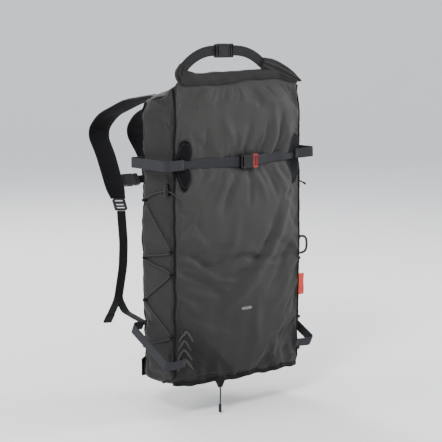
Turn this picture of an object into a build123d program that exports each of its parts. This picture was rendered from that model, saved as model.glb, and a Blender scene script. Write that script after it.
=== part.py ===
from build123d import *
import os
from math import cos, radians, sin, sqrt, tan

# Ski backpack. Millimetres, +Z up, +Y towards the wearer, -Y the front of the bag.
# The origin is the middle of the back pad's face. "Left" is -X, "right" is +X.

# Driving dimensions
BAG_WIDTH = 315.0
BAG_BOTTOM = -300.0
BAG_TOP = 250.0
FABRIC = 3.0
PAD_THICK = 12.0
FRONT_EDGE_Y = -128.0
FRONT_CROWN = 12.0
ROLL_TOP_Z = 310.3
WEB_WIDTH = 20.0
WEB_THICK = 2.0
SKI_OUTER_X = 187.0
SKI_FRONT_Y = -141.0
SKI_REAR_Y = -22.0
SKI_STRAP_Z = 135.0
LOWER_LOOP_TILT = 26.6
RIGHT_STRAP_TILT = 3.0
HARNESS_X = 61.6
HARNESS_TILT = 4.0
LACE_X = 163.5
LACE_RADIUS = 1.5
CLEAR = 0.3

# Derived sizes
HALF = BAG_WIDTH / 2
BACK_Y = -PAD_THICK
SIDE_REAR_Y = BACK_Y - FABRIC
FRONT_RADIUS = (HALF**2 + FRONT_CROWN**2) / (2 * FRONT_CROWN)
FRONT_CENTRE_Y = FRONT_EDGE_Y - FRONT_CROWN + FRONT_RADIUS
SIDES = {"left": -1, "right": 1}

os.makedirs("parts", exist_ok=True)


def save(builder, label):
    builder.part.label = label
    export_step(builder.part, f"parts/{label}.step")


def local(frame, x=0.0, y=0.0, z=0.0):
    """The same plane, moved by x, y, z in its own axes."""
    return Plane(frame.from_local_coords(Vector(x, y, z)), x_dir=frame.x_dir, z_dir=frame.z_dir)


def block(frame, x_range, y_range, z_range, corner=0.0):
    """A box between two corners given in the frame's own axes, its upright edges rounded."""
    width = x_range[1] - x_range[0]
    length = y_range[1] - y_range[0]
    middle = local(frame, sum(x_range) / 2, sum(y_range) / 2, z_range[0])
    with BuildPart() as made:
        with BuildSketch(middle):
            if corner > 0:
                RectangleRounded(width, length, corner)
            else:
                Rectangle(width, length)
        extrude(amount=z_range[1] - z_range[0])
    return made


def webbing(frame, points, radii, width=WEB_WIDTH, thickness=WEB_THICK):
    """A flat strap: a route in the frame's XY, thickened, and as wide as the webbing along its Z."""
    with BuildPart() as made:
        with BuildSketch(frame):
            with BuildLine():
                if len(points) > 2:
                    FilletPolyline(*points, radius=radii)
                else:
                    Polyline(*points)
            trace(line_width=thickness)
        extrude(amount=width / 2, both=True)
    return made


# ---------------------------------------------------------------- bag panels


def front_y(radius, x):
    return FRONT_CENTRE_Y - sqrt(radius**2 - x**2)


def front_band(inner, outer, x_range, z_range):
    """A sheet that follows the crowned front, between two distances in front of the panel's face."""
    arcs = (FRONT_RADIUS + inner, FRONT_RADIUS + outer)
    low, high = x_range
    middle = (low + high) / 2
    corners = [[(x, front_y(r, x)) for x in (low, middle, high)] for r in arcs]
    with BuildPart() as made:
        with BuildSketch(Plane.XY.offset(z_range[0])):
            with BuildLine():
                ThreePointArc(*corners[0])
                Line(corners[0][2], corners[1][2])
                ThreePointArc(*corners[1])
                Line(corners[1][0], corners[0][0])
            make_face()
        extrude(amount=z_range[1] - z_range[0])
    return made


front_panel = front_band(-FABRIC, 0, (-HALF, HALF), (BAG_BOTTOM, BAG_TOP))
save(front_panel, "front_panel")

for side_name, side in SIDES.items():
    edges = sorted((side * HALF, side * (HALF - FABRIC)))
    side_panel = block(Plane.XY, edges, (FRONT_EDGE_Y + FABRIC + 0.1, SIDE_REAR_Y), (BAG_BOTTOM, BAG_TOP))
    save(side_panel, f"side_panel_{side_name}")

back_panel = block(Plane.XY, (-HALF, HALF), (SIDE_REAR_Y, BACK_Y), (BAG_BOTTOM, BAG_TOP))
save(back_panel, "back_panel")

with BuildPart() as bottom_panel:
    with BuildSketch(Plane.XY.offset(BAG_BOTTOM - FABRIC)):
        with BuildLine():
            ThreePointArc((-HALF, FRONT_EDGE_Y), (0, FRONT_EDGE_Y - FRONT_CROWN), (HALF, FRONT_EDGE_Y))
            Polyline((HALF, FRONT_EDGE_Y), (HALF, BACK_Y), (-HALF, BACK_Y), (-HALF, FRONT_EDGE_Y))
        make_face()
    extrude(amount=FABRIC)
save(bottom_panel, "bottom_panel")

# The collar closes the bag above its panels: an upright front and a top that slopes back.
COLLAR_FRONT_Y = -131.0
COLLAR_HIGH = 284.0
COLLAR_LOW = 258.0
COLLAR_RIDGE = 13.0
with BuildPart() as collar:
    with BuildSketch(Plane.YZ):
        with BuildLine():
            Polyline(
                (COLLAR_FRONT_Y, BAG_TOP),
                (BACK_Y, BAG_TOP),
                (BACK_Y, COLLAR_LOW),
                (COLLAR_FRONT_Y + COLLAR_RIDGE, COLLAR_HIGH),
                (COLLAR_FRONT_Y, COLLAR_HIGH),
                close=True,
            )
        make_face()
    extrude(amount=HALF, both=True)
    with BuildSketch(Plane.YZ):
        with BuildLine():
            Polyline(
                (COLLAR_FRONT_Y + FABRIC, BAG_TOP),
                (SIDE_REAR_Y, BAG_TOP),
                (SIDE_REAR_Y, COLLAR_LOW - FABRIC),
                (COLLAR_FRONT_Y + COLLAR_RIDGE - 1, COLLAR_HIGH - FABRIC),
                (COLLAR_FRONT_Y + FABRIC, COLLAR_HIGH - FABRIC),
                close=True,
            )
        make_face()
    extrude(amount=HALF - FABRIC, both=True, mode=Mode.SUBTRACT)
save(collar, "collar")

BINDING_HIGH = 7.0
bottom_binding = front_band(0.1, 2.1, (-HALF, HALF), (BAG_BOTTOM, BAG_BOTTOM + BINDING_HIGH))
save(bottom_binding, "bottom_binding")
with BuildPart() as edge_bindings:
    for side in SIDES.values():
        across = sorted((side * (HALF + 0.1), side * (HALF + 3.5)))
        add(block(Plane.XY, across, (-133.0, -126.2), (BAG_BOTTOM, BAG_TOP), 1.5).part)
save(edge_bindings, "edge_bindings")

MARK_Z = -156.0
reflective_bar = front_band(0.1, 0.9, (-13, 13), (MARK_Z - 3, MARK_Z + 3))
save(reflective_bar, "reflective_bar")

# ---------------------------------------------------------------- back structure

PAD_CORNER = 30.0
back_face = Plane(origin=(0, 0, 0), x_dir=(-1, 0, 0), z_dir=(0, 1, 0))
back_pad = block(back_face, (-118, 118), (-205, 205), (-PAD_THICK, 0), PAD_CORNER)
save(back_pad, "back_pad")

SHEET_THICK = 2.5
SHEET_FACE = SIDE_REAR_Y - CLEAR
frame_sheet = block(back_face, (-125, 125), (-270, 240), (SHEET_FACE - SHEET_THICK, SHEET_FACE), 20)
save(frame_sheet, "frame_sheet")

STAY_FACE = SHEET_FACE - SHEET_THICK - CLEAR
with BuildPart() as frame_stays:
    for stay_x in (-60, 60):
        with BuildSketch(local(back_face, stay_x, -15, STAY_FACE)):
            RectangleRounded(22, 490, 8)
        extrude(amount=-2.5)
save(frame_stays, "frame_stays")

YOKE_FACE = -6.0
yoke_panel = block(back_face, (-86, 86), (209, BAG_TOP - 1), (BACK_Y, YOKE_FACE), 6)
save(yoke_panel, "yoke_panel")

HAUL_HALF = 13.0
HAUL_LOW = BAG_TOP - 1
haul_route = [(-HAUL_HALF, HAUL_LOW), (-HAUL_HALF, 283), (HAUL_HALF, 283), (HAUL_HALF, HAUL_LOW)]
haul_loop = webbing(Plane.XZ.offset(5.8), haul_route, 9, 12, 2.4)
save(haul_loop, "haul_loop")

# ---------------------------------------------------------------- side-release buckles
# A buckle's frame: X across the strap, Y the way the male half pulls out, Z outward.

BUCKLE_WIDTH = 27.0
BUCKLE_THICK = 9.0
FEMALE_LENGTH = 30.0
POCKET_DEPTH = 22.0
POCKET_WIDTH = 22.0
POCKET_HIGH = 5.4
BAR_SLOT = 3.2
MALE_BASE = 13.0


def buckle_female(frame):
    low = -BUCKLE_THICK / 2
    with BuildPart() as made:
        with BuildSketch(local(frame, 0, -FEMALE_LENGTH / 2, low)):
            RectangleRounded(BUCKLE_WIDTH, FEMALE_LENGTH, 3.5)
        extrude(amount=BUCKLE_THICK)
        chamfer(made.faces().sort_by(Axis(frame.origin, frame.z_dir))[-1].edges(), 0.9)
        with BuildSketch(local(frame, 0, -POCKET_DEPTH / 2 + 0.5, -POCKET_HIGH / 2)):
            Rectangle(POCKET_WIDTH, POCKET_DEPTH + 1)
        extrude(amount=POCKET_HIGH, mode=Mode.SUBTRACT)
        with BuildSketch(local(frame, 0, -13.5, -POCKET_HIGH / 2)):
            RectangleRounded(BUCKLE_WIDTH + 2, 13, 2)
        extrude(amount=POCKET_HIGH, mode=Mode.SUBTRACT)
        with BuildSketch(local(frame, 0, -FEMALE_LENGTH + 4.2, low)):
            RectangleRounded(21, BAR_SLOT, 1.2)
        extrude(amount=BUCKLE_THICK, mode=Mode.SUBTRACT)
    return made


def buckle_male(frame):
    arm_high = POCKET_HIGH - 2 * CLEAR
    with BuildPart() as made:
        with BuildSketch(local(frame, 0, CLEAR + MALE_BASE / 2, -4)):
            RectangleRounded(BUCKLE_WIDTH, MALE_BASE, 3)
        extrude(amount=8)
        chamfer(made.faces().sort_by(Axis(frame.origin, frame.z_dir))[-1].edges(), 0.8)
        with BuildSketch(local(frame, 0, 0, -4)):
            with Locations((0, 4.6), (0, 9.8)):
                RectangleRounded(21, 2.8, 1.2)
        extrude(amount=8, mode=Mode.SUBTRACT)
        with BuildSketch(local(frame, 0, 0, -arm_high / 2)):
            for way in (-1, 1):
                with BuildLine():
                    Polyline(
                        (way * 6.0, CLEAR + 1.5),
                        (way * 9.2, CLEAR + 1.5),
                        (way * 9.0, -8.0),
                        (way * 10.6, -10.0),
                        (way * 10.6, -16.5),
                        (way * 8.0, -20.0),
                        (way * 6.4, -19.0),
                        close=True,
                    )
                make_face()
            with Locations((0, -8.0)):
                RectangleRounded(3.2, 20, 1.2)
        extrude(amount=arm_high)
    return made


# ---------------------------------------------------------------- rolled top

ROLL_Y = -127.0
ROLL_LOW = COLLAR_HIGH + CLEAR
ROLL_MIDDLE = (ROLL_LOW + ROLL_TOP_Z) / 2
ROLL_LEFT = -118.0
ROLL_RIGHT = 62.0
ROLL_THICK = 14.0
STIFF_HIGH = 17.0
STIFF_THICK = 1.6

with BuildPart() as roll_top:
    with BuildSketch(Plane.YZ.offset(ROLL_LEFT)):
        with Locations((ROLL_Y, ROLL_MIDDLE)):
            RectangleRounded(ROLL_THICK, ROLL_TOP_Z - ROLL_LOW, 6.5)
            Rectangle(STIFF_THICK, STIFF_HIGH, mode=Mode.SUBTRACT)
    extrude(amount=ROLL_RIGHT - ROLL_LEFT)
save(roll_top, "roll_top")

with BuildPart() as roll_stiffener:
    with BuildSketch(Plane.YZ.offset(ROLL_LEFT + 2)):
        with Locations((ROLL_Y, ROLL_MIDDLE)):
            Rectangle(STIFF_THICK, STIFF_HIGH)
    extrude(amount=ROLL_RIGHT - ROLL_LEFT - 4)
save(roll_stiffener, "roll_stiffener")

END_THICK = 12.0
END_LOW = ROLL_LOW + 0.2
END_JOIN = ROLL_TOP_Z + 0.5
roll_end_outlines = {
    "left": [
        (ROLL_LEFT - 0.2, END_LOW),
        (-155, END_LOW),
        (-158, 308),
        (-150, 322),
        (-138.3, 329),
        (-128.4, 311.6),
        (ROLL_LEFT - 0.2, END_JOIN),
    ],
    "right": [
        (ROLL_RIGHT + 0.2, END_LOW),
        (156, END_LOW),
        (157.5, 291),
        (112, 313),
        (66, 336),
        (60.8, 334),
        (52.2, 316),
        (53, END_JOIN),
        (ROLL_RIGHT + 0.2, END_JOIN),
    ],
}
roll_front = Plane(origin=(0, ROLL_Y, 0), x_dir=(1, 0, 0), z_dir=(0, -1, 0))
for side_name, outline in roll_end_outlines.items():
    with BuildPart() as roll_end:
        with BuildSketch(roll_front):
            with BuildLine():
                Polyline(*outline, close=True)
            make_face()
        extrude(amount=END_THICK / 2, both=True)
    save(roll_end, f"roll_end_{side_name}")

LOOP_TOP = 350.0
ROLL_BUCKLE_X = -30.0
roll_buckle_frame = Plane(origin=(ROLL_BUCKLE_X, ROLL_Y, LOOP_TOP), x_dir=(0, 0, -1), z_dir=(0, -1, 0))
roll_buckle_female = buckle_female(roll_buckle_frame)
save(roll_buckle_female, "roll_buckle_female")
roll_buckle_male = buckle_male(roll_buckle_frame)
save(roll_buckle_male, "roll_buckle_male")


def flat_band(frame, points, radii, width, thickness):
    """A band whose face lies in the frame's XY, so that it curves edgewise."""
    with BuildPart() as made:
        with BuildSketch(frame):
            with BuildLine():
                FilletPolyline(*points, radius=radii)
            trace(line_width=width)
        extrude(amount=thickness / 2, both=True)
    return made


webbing_gap = 2 * CLEAR
left_end_x = ROLL_BUCKLE_X - FEMALE_LENGTH - webbing_gap
right_end_x = ROLL_BUCKLE_X + MALE_BASE + CLEAR + webbing_gap
left_loop = [(-132.6, 320.8), (-82, LOOP_TOP), (left_end_x, LOOP_TOP)]
right_loop = [(right_end_x, LOOP_TOP), (10, LOOP_TOP), (55.4, 325.3)]
roll_webbing_left = flat_band(roll_front, left_loop, 34, WEB_WIDTH, WEB_THICK)
save(roll_webbing_left, "roll_webbing_left")
roll_webbing_right = flat_band(roll_front, right_loop, 40, WEB_WIDTH, WEB_THICK)
save(roll_webbing_right, "roll_webbing_right")

# ---------------------------------------------------------------- ski straps

STRAP_GAP = 2.6
SKI_BUCKLE_X = 18.0
strap_radius = FRONT_RADIUS + STRAP_GAP
buckle_rear = FRONT_EDGE_Y - FRONT_CROWN - 1.0
ski_buckle_frame = Plane(
    origin=(SKI_BUCKLE_X, buckle_rear - BUCKLE_THICK / 2, SKI_STRAP_Z), x_dir=(0, 0, -1), z_dir=(0, -1, 0)
)
ski_buckle_female = buckle_female(ski_buckle_frame)
save(ski_buckle_female, "ski_buckle_female")
ski_buckle_male = buckle_male(ski_buckle_frame)
save(ski_buckle_male, "ski_buckle_male")

STRAP_SEAM_X = 140.0
LOOP_SEAM_X = STRAP_SEAM_X + 1.0
seam_y = front_y(strap_radius, STRAP_SEAM_X) - 0.6
left_strap = [(SKI_BUCKLE_X - FEMALE_LENGTH - webbing_gap, -143.6), (-80, -140.9), (-STRAP_SEAM_X, seam_y)]
right_strap = [(SKI_BUCKLE_X + MALE_BASE + 4 * CLEAR, -143.6), (84, -140.9), (STRAP_SEAM_X, seam_y)]
strap_level = Plane.XY.offset(SKI_STRAP_Z)
right_tilt = radians(RIGHT_STRAP_TILT)
right_level = Plane(
    origin=(SKI_BUCKLE_X, 0, SKI_STRAP_Z),
    x_dir=(cos(right_tilt), 0, sin(right_tilt)),
    z_dir=(-sin(right_tilt), 0, cos(right_tilt)),
)


def along_right(points):
    """The same plan route, in the right strap's rising plane."""
    return [((x - SKI_BUCKLE_X) / cos(right_tilt), y) for x, y in points]


ski_strap_left = webbing(strap_level, left_strap, 300)
save(ski_strap_left, "ski_strap_left")
ski_strap_right = webbing(right_level, along_right(right_strap), 300)
save(ski_strap_right, "ski_strap_right")

LOOP_END_X = HALF + 1.0
CORNER = 7.0


def ski_loop_route(side, front_start_y):
    """Round a ski that stands against the bag's side, from the front seam to the rear seam."""
    return [
        (side * LOOP_SEAM_X, front_start_y),
        (side * SKI_OUTER_X, SKI_FRONT_Y),
        (side * SKI_OUTER_X, SKI_REAR_Y),
        (side * LOOP_END_X, SKI_REAR_Y),
    ]


ski_loop_left = webbing(strap_level, ski_loop_route(-1, seam_y), CORNER)
save(ski_loop_left, "ski_loop_left")
ski_loop_right = webbing(right_level, along_right(ski_loop_route(1, seam_y)), CORNER)
save(ski_loop_right, "ski_loop_right")

PATCH_HIGH = 104.0
PATCH_WIDE = 36.0
patch_z = (SKI_STRAP_Z - PATCH_HIGH / 2, SKI_STRAP_Z + PATCH_HIGH / 2)
patch_middle = HALF - 0.5 - PATCH_WIDE / 2
with BuildPart() as strap_patches:
    for side in SIDES.values():
        patch_x = (side * patch_middle - PATCH_WIDE / 2, side * patch_middle + PATCH_WIDE / 2)
        add(front_band(0.1, 1.2, patch_x, patch_z).part)
    with BuildSketch(Plane.XZ.offset(100)):
        with Locations((-patch_middle, SKI_STRAP_Z), (patch_middle, SKI_STRAP_Z)):
            Ellipse(PATCH_WIDE / 2, PATCH_HIGH / 2)
    extrude(amount=60, mode=Mode.INTERSECT)
save(strap_patches, "strap_patches")

# The lower loops run down and forward across the ski.
LOWER_ORIGIN = (0, -100.0, -230.0)
lower_tilt = radians(LOWER_LOOP_TILT)
lower_level = Plane(origin=LOWER_ORIGIN, x_dir=(1, 0, 0), z_dir=(0, -sin(lower_tilt), cos(lower_tilt)))
LOWER_START_Y = -138.0
for side_name, side in SIDES.items():
    slanted = [
        (x, (y - LOWER_ORIGIN[1]) / cos(lower_tilt)) for x, y in ski_loop_route(side, LOWER_START_Y)
    ]
    lower_ski_loop = webbing(lower_level, slanted, CORNER)
    save(lower_ski_loop, f"lower_ski_loop_{side_name}")

# ---------------------------------------------------------------- side lacing

FRONT_LACE_Y = -120.0
REAR_LACE_Y = -35.0
LACE_TURN = 4.5
FRONT_LACES = [-32.0, -76.0, -199.0, -263.0]
REAR_LACES = [60.0, -54.0, -138.0, -231.0]
LOCK_Y = -110.0
LOCK_Z = 84.0


def lace_route():
    """The cord's route in the YZ plane: through the lock, then from loop to loop down the side."""
    points = [(-141.0, 78.0), (-128.0, LOCK_Z), (-92.0, LOCK_Z)]
    for rear, front in zip(REAR_LACES, FRONT_LACES):
        points += [(REAR_LACE_Y, rear + LACE_TURN), (REAR_LACE_Y, rear - LACE_TURN)]
        points += [(FRONT_LACE_Y, front + LACE_TURN), (FRONT_LACE_Y, front - LACE_TURN)]
    points[-1] = (FRONT_LACE_Y, FRONT_LACES[-1] - 2.5)
    return points


def corner_radii(points):
    """0.45 of the shorter run, divided by the tangent of half the turn."""
    radii = []
    for before, here, after in zip(points, points[1:], points[2:]):
        arriving = Vector(*here) - Vector(*before)
        leaving = Vector(*after) - Vector(*here)
        half_turn = radians(arriving.get_angle(leaving)) / 2
        radii.append(0.45 * min(arriving.length, leaving.length) / tan(half_turn))
    return radii


lace_points = lace_route()
lace_radii = corner_radii(lace_points)
print("lacing radii:", [round(r, 1) for r in lace_radii])
with BuildPart() as lacing_cords:
    for side in SIDES.values():
        with BuildLine(Plane(origin=(side * LACE_X, 0, 0), x_dir=(0, 1, 0), z_dir=(1, 0, 0))) as lace_line:
            FilletPolyline(*lace_points, radius=lace_radii)
        with BuildSketch(Plane(lace_line.line @ 0, z_dir=lace_line.line % 0)):
            Circle(LACE_RADIUS)
        sweep(path=lace_line.line)
save(lacing_cords, "lacing_cords")

LOOP_HIGH = 5.0
LOOP_REACH = 9.4
front_loops = [(-125.6 + LOOP_REACH / 2, z) for z in FRONT_LACES]
rear_loops = [(-29.4 - LOOP_REACH / 2, z) for z in REAR_LACES]
with BuildPart() as lace_loops:
    for middle_y, loop_z in front_loops + rear_loops:
        for side in SIDES.values():
            with BuildSketch(Plane.XY.offset(loop_z - LOOP_HIGH / 2)):
                with Locations((side * (LACE_X - 0.8), middle_y)):
                    RectangleRounded(9.0, LOOP_REACH, 1.8)
                with Locations((side * LACE_X, middle_y)):
                    RectangleRounded(4.4, LOOP_REACH - 2.6, 1.4, mode=Mode.SUBTRACT)
            extrude(amount=LOOP_HIGH)
save(lace_loops, "lace_loops")

# Cord locks: a barrel, a sprung plunger with a slot for the cord, and the spring under it.
LOCK_HALF = 8.5
BARREL_R = 5.5
BORE_R = 4.2
PLUNGER_R = 4.0
PLUNGER_RISE = 6.0
LOCK_TRAVEL = 3.0
CORD_HOLE = 4.0
PLUNGER_LOW = -3.2
BORE_FLOOR = 1.0
with BuildPart() as cord_lock_barrels:
    for side in SIDES.values():
        with BuildSketch(Plane(origin=(side * LACE_X, LOCK_Y, LOCK_Z - LOCK_HALF))):
            Circle(BARREL_R)
        extrude(amount=2 * LOCK_HALF)
        with BuildSketch(Plane(origin=(side * LACE_X, LOCK_Y, LOCK_Z - LOCK_HALF + BORE_FLOOR))):
            Circle(BORE_R)
        extrude(amount=2 * LOCK_HALF, mode=Mode.SUBTRACT)
        with BuildSketch(Plane(origin=(side * LACE_X, LOCK_Y - 10, LOCK_Z), z_dir=(0, 1, 0))):
            Circle(CORD_HOLE / 2)
        extrude(amount=20, mode=Mode.SUBTRACT)
save(cord_lock_barrels, "cord_lock_barrels")

SPRING_R = 3.2
# Thin enough for the pressed coils to lie on one another in the room the plunger leaves.
SPRING_WIRE = 0.2
spring_low = LOCK_Z - LOCK_HALF + BORE_FLOOR + SPRING_WIRE
spring_high = LOCK_Z + PLUNGER_LOW - SPRING_WIRE
for side_name, side in SIDES.items():
    axis_x = side * LACE_X
    with BuildPart() as plunger:
        with BuildSketch(Plane(origin=(axis_x, LOCK_Y, LOCK_Z + PLUNGER_LOW))):
            Circle(PLUNGER_R)
        extrude(amount=LOCK_HALF + PLUNGER_RISE - PLUNGER_LOW)
        fillet(plunger.faces().sort_by(Axis.Z)[-1].edges(), 1.2)
        with BuildSketch(Plane(origin=(axis_x, LOCK_Y - 10, LOCK_Z), x_dir=(1, 0, 0), z_dir=(0, 1, 0))):
            with Locations((0, -LOCK_TRAVEL / 2)):
                SlotCenterToCenter(LOCK_TRAVEL + 0.2, 3.8, rotation=90)
        extrude(amount=20, mode=Mode.SUBTRACT)
    save(plunger, f"cord_lock_plunger_{side_name}")
    with BuildPart() as lock_spring:
        with BuildLine(Plane(origin=(axis_x, LOCK_Y, spring_low))) as coil:
            Helix(pitch=(spring_high - spring_low) / 2, height=spring_high - spring_low, radius=SPRING_R)
        with BuildSketch(Plane(coil.line @ 0, z_dir=coil.line % 0)):
            Circle(SPRING_WIRE)
        sweep()
    save(lock_spring, f"cord_lock_spring_{side_name}")

# ---------------------------------------------------------------- small fittings on the edges

GEAR_LOOP_Z = -47.0
gear_front = Plane(origin=(HALF + 4.5, -129.5, GEAR_LOOP_Z), x_dir=(1, 0, 0), z_dir=(0, -1, 0))
with BuildPart() as gear_loop:
    with BuildLine(gear_front) as gear_line:
        FilletPolyline((2, -17), (13, -14), (13, 14), (2, 17), radius=9)
    with BuildSketch(Plane(gear_line.line @ 0, z_dir=gear_line.line % 0)):
        Circle(2.2)
    sweep()
save(gear_loop, "gear_loop")

seam_tag = block(Plane.XY, (HALF + 3.8, HALF + 12.5), (-130.6, -128.4), (-151, -107), 0.8)
save(seam_tag, "seam_tag")

TAB_X = -60.0
TAB_Y = -143.4
tab_front = Plane(origin=(TAB_X, TAB_Y, 0), x_dir=(1, 0, 0), z_dir=(0, -1, 0))
with BuildPart() as cord_tab:
    with BuildSketch(tab_front):
        with BuildLine():
            Polyline((-13, -294), (13, -294), (4.5, -309), (-4.5, -309), close=True)
        make_face()
    extrude(amount=0.9, both=True)
save(cord_tab, "cord_tab")

CORD_RADIUS = 1.5
cord_points = [(0.0, -309.3), (0.9, -326.0), (-0.4, -343.0)]
with BuildPart() as hanging_cord:
    with BuildLine(tab_front) as cord_line:
        FilletPolyline(*cord_points, radius=corner_radii(cord_points))
    with BuildSketch(Plane(cord_line.line @ 0, z_dir=cord_line.line % 0)):
        Circle(CORD_RADIUS)
    sweep()
save(hanging_cord, "hanging_cord")
print("hanging cord radii:", [round(r) for r in corner_radii(cord_points)])

with BuildPart() as cord_end:
    with BuildSketch(Plane(origin=(TAB_X - 0.5, TAB_Y, -359.2))):
        Circle(3)
    extrude(amount=16)
    fillet(cord_end.edges(), 0.8)
save(cord_end, "cord_end")

# ---------------------------------------------------------------- shoulder harness

STRAP_WIDTH = 56.0
STRAP_THICK = 10.0
PAD_ROUTE = [(0, 237), (60, 256), (170, 240), (262, 207), (302, 168), (262, 120), (208, 32)]
PAD_RADII = [100, 200, 100, 26, 200]
WEBBING_ROUTE = [(192.6, 7), (178, -60), (176, -110), (188, -180), (160, -205), (73, -219), (9, -232)]
WEBBING_RADII = [150, 150, 15, 30, 200]
TAIL_ROUTE = [(195.2, 6), (180.6, -60), (178.6, -110), (190.6, -182), (226, -238)]
TAIL_RADII = [150, 150, 60]
ADJUSTER_THICK = 1.8
rail_start, rail_end = PAD_ROUTE[-2:]
down = (Vector(*rail_end) - Vector(*rail_start)).normalized()
out = Vector(-down.Y, down.X)


def strap_plane(side):
    """The upright plane of one shoulder strap: X is +Y of the bag, Y is up the strap."""
    tilt = radians(HARNESS_TILT)
    return Plane(
        origin=(side * HARNESS_X, 0, 0), x_dir=(0, 1, 0), z_dir=(cos(tilt), 0, side * sin(tilt))
    )


def rail_plane(side, distance, height=0.0):
    """On the straight lower part of a pad: X across the strap, Y down it, Z outward."""
    strap = strap_plane(side)
    start = Vector(*rail_start) + down * distance + out * height
    origin = strap.from_local_coords(start)
    along = strap.from_local_coords(start + down) - origin
    outward = strap.from_local_coords(start + out) - origin
    return Plane(origin=origin, x_dir=along.cross(outward), z_dir=outward)


rail_length = (Vector(*rail_end) - Vector(*rail_start)).length
PAD_FACE = STRAP_THICK / 2
RAIL_WIDTH = 17.0
RAIL_THICK = 1.6
RAIL_LIFT = 9.2
RAIL_FOOT = PAD_FACE + RAIL_THICK / 2 + 0.1
SLIDER_AT = 57.0
SLIDER_LOW = PAD_FACE + 0.5
SLIDER_HIGH = 14.2
LADDER_LENGTH = 27.0
rail_route = [
    (16, RAIL_FOOT),
    (22, RAIL_FOOT),
    (28, RAIL_LIFT),
    (88, RAIL_LIFT),
    (94, RAIL_FOOT),
    (rail_length - 2, RAIL_FOOT),
]
with BuildPart() as rail_webbings:
    for side in SIDES.values():
        rail_frame = rail_plane(side, 0)
        rail_side = Plane(origin=rail_frame.origin, x_dir=rail_frame.y_dir, z_dir=rail_frame.x_dir)
        add(webbing(rail_side, rail_route, 4, RAIL_WIDTH, RAIL_THICK).part)
save(rail_webbings, "rail_webbings")

anchor_face = Plane(origin=(0, BACK_Y + 0.1, 0), x_dir=(1, 0, 0), z_dir=(0, -1, 0))
with BuildPart() as lower_anchors:
    for side in SIDES.values():
        anchor_x = strap_plane(side).from_local_coords(Vector(9, WEBBING_ROUTE[-1][1])).X
        with BuildSketch(anchor_face):
            with BuildLine():
                Polyline(
                    (side * HALF, -297),
                    (side * (HALF - 36), -297),
                    (anchor_x - side * 10, -241),
                    (anchor_x - side * 10, -224),
                    (anchor_x + side * 12, -224),
                    (side * HALF, -262),
                    close=True,
                )
            make_face()
        extrude(amount=-2)
        with BuildSketch(Plane.XY.offset(-233.5)):
            with Locations((anchor_x, -1.5)):
                Rectangle(WEB_WIDTH, 19.6)
        extrude(amount=2)
save(lower_anchors, "lower_anchors")

for side_name, side in SIDES.items():
    plane = strap_plane(side)
    with BuildPart() as shoulder_pad:
        with BuildSketch(plane):
            with BuildLine():
                FilletPolyline(*PAD_ROUTE, radius=PAD_RADII)
            trace(line_width=STRAP_THICK)
            with Locations(PAD_ROUTE[0]):
                Circle(STRAP_THICK / 2)
        extrude(amount=STRAP_WIDTH / 2, both=True)
    save(shoulder_pad, f"shoulder_pad_{side_name}")

    slider = rail_plane(side, SLIDER_AT)
    with BuildPart() as sternum_slider:
        with BuildSketch(local(slider, 0, 0, SLIDER_LOW)):
            RectangleRounded(30, 17, 3)
        extrude(amount=SLIDER_HIGH - SLIDER_LOW)
        chamfer(sternum_slider.faces().sort_by(Axis(slider.origin, slider.z_dir))[-1].edges(), 0.8)
        with BuildSketch(local(slider, 0, 0, RAIL_LIFT - 1.4)):
            Rectangle(22.6, 30)
        extrude(amount=2.8, mode=Mode.SUBTRACT)
    save(sternum_slider, f"sternum_slider_{side_name}")

    ladder = rail_plane(side, rail_length + 1)
    with BuildPart() as ladder_lock:
        with BuildSketch(local(ladder, 0, LADDER_LENGTH / 2, -2.6)):
            RectangleRounded(31, LADDER_LENGTH, 4)
            with Locations((0, -8.6), (0, 0.4), (0, 7.6)):
                RectangleRounded(23, 3.6, 1.2, mode=Mode.SUBTRACT)
        extrude(amount=5.2)
        chamfer(ladder_lock.faces().sort_by(Axis(ladder.origin, ladder.z_dir))[-1].edges(), 0.7)
    save(ladder_lock, f"ladder_lock_{side_name}")

    adjuster = webbing(plane, WEBBING_ROUTE, WEBBING_RADII, WEB_WIDTH, ADJUSTER_THICK)
    save(adjuster, f"adjuster_webbing_{side_name}")

    tail_end = Vector(*TAIL_ROUTE[-1])
    tail_way = (tail_end - Vector(*TAIL_ROUTE[-2])).normalized()
    fold_start = tail_end - tail_way * 22
    with BuildPart() as adjuster_tail:
        with BuildSketch(plane):
            with BuildLine():
                FilletPolyline(*TAIL_ROUTE, radius=TAIL_RADII)
            trace(line_width=ADJUSTER_THICK)
            with BuildLine():
                Line((fold_start.X, fold_start.Y), (tail_end.X, tail_end.Y))
            trace(line_width=2.6 * ADJUSTER_THICK)
        extrude(amount=WEB_WIDTH / 2, both=True)
    save(adjuster_tail, f"adjuster_tail_{side_name}")

# Sternum strap, between the two sliders.
STERNUM_THICK = 1.8
STERNUM_X = 4.0
# High enough for the male half to pass over the leaning pad's inner edge.
STERNUM_LIFT = RAIL_LIFT + 3.2
right_slider = rail_plane(1, SLIDER_AT, STERNUM_LIFT)
sternum_y, sternum_z = right_slider.origin.Y, right_slider.origin.Z
slider_inner = right_slider.origin.X - 15.5
sternum_frame = Plane(
    origin=(STERNUM_X, sternum_y, sternum_z), x_dir=(0, -down.X, -down.Y), z_dir=(0, out.X, out.Y)
)
sternum_buckle_female = buckle_female(sternum_frame)
save(sternum_buckle_female, "sternum_buckle_female")
sternum_buckle_male = buckle_male(sternum_frame)
save(sternum_buckle_male, "sternum_buckle_male")

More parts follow.
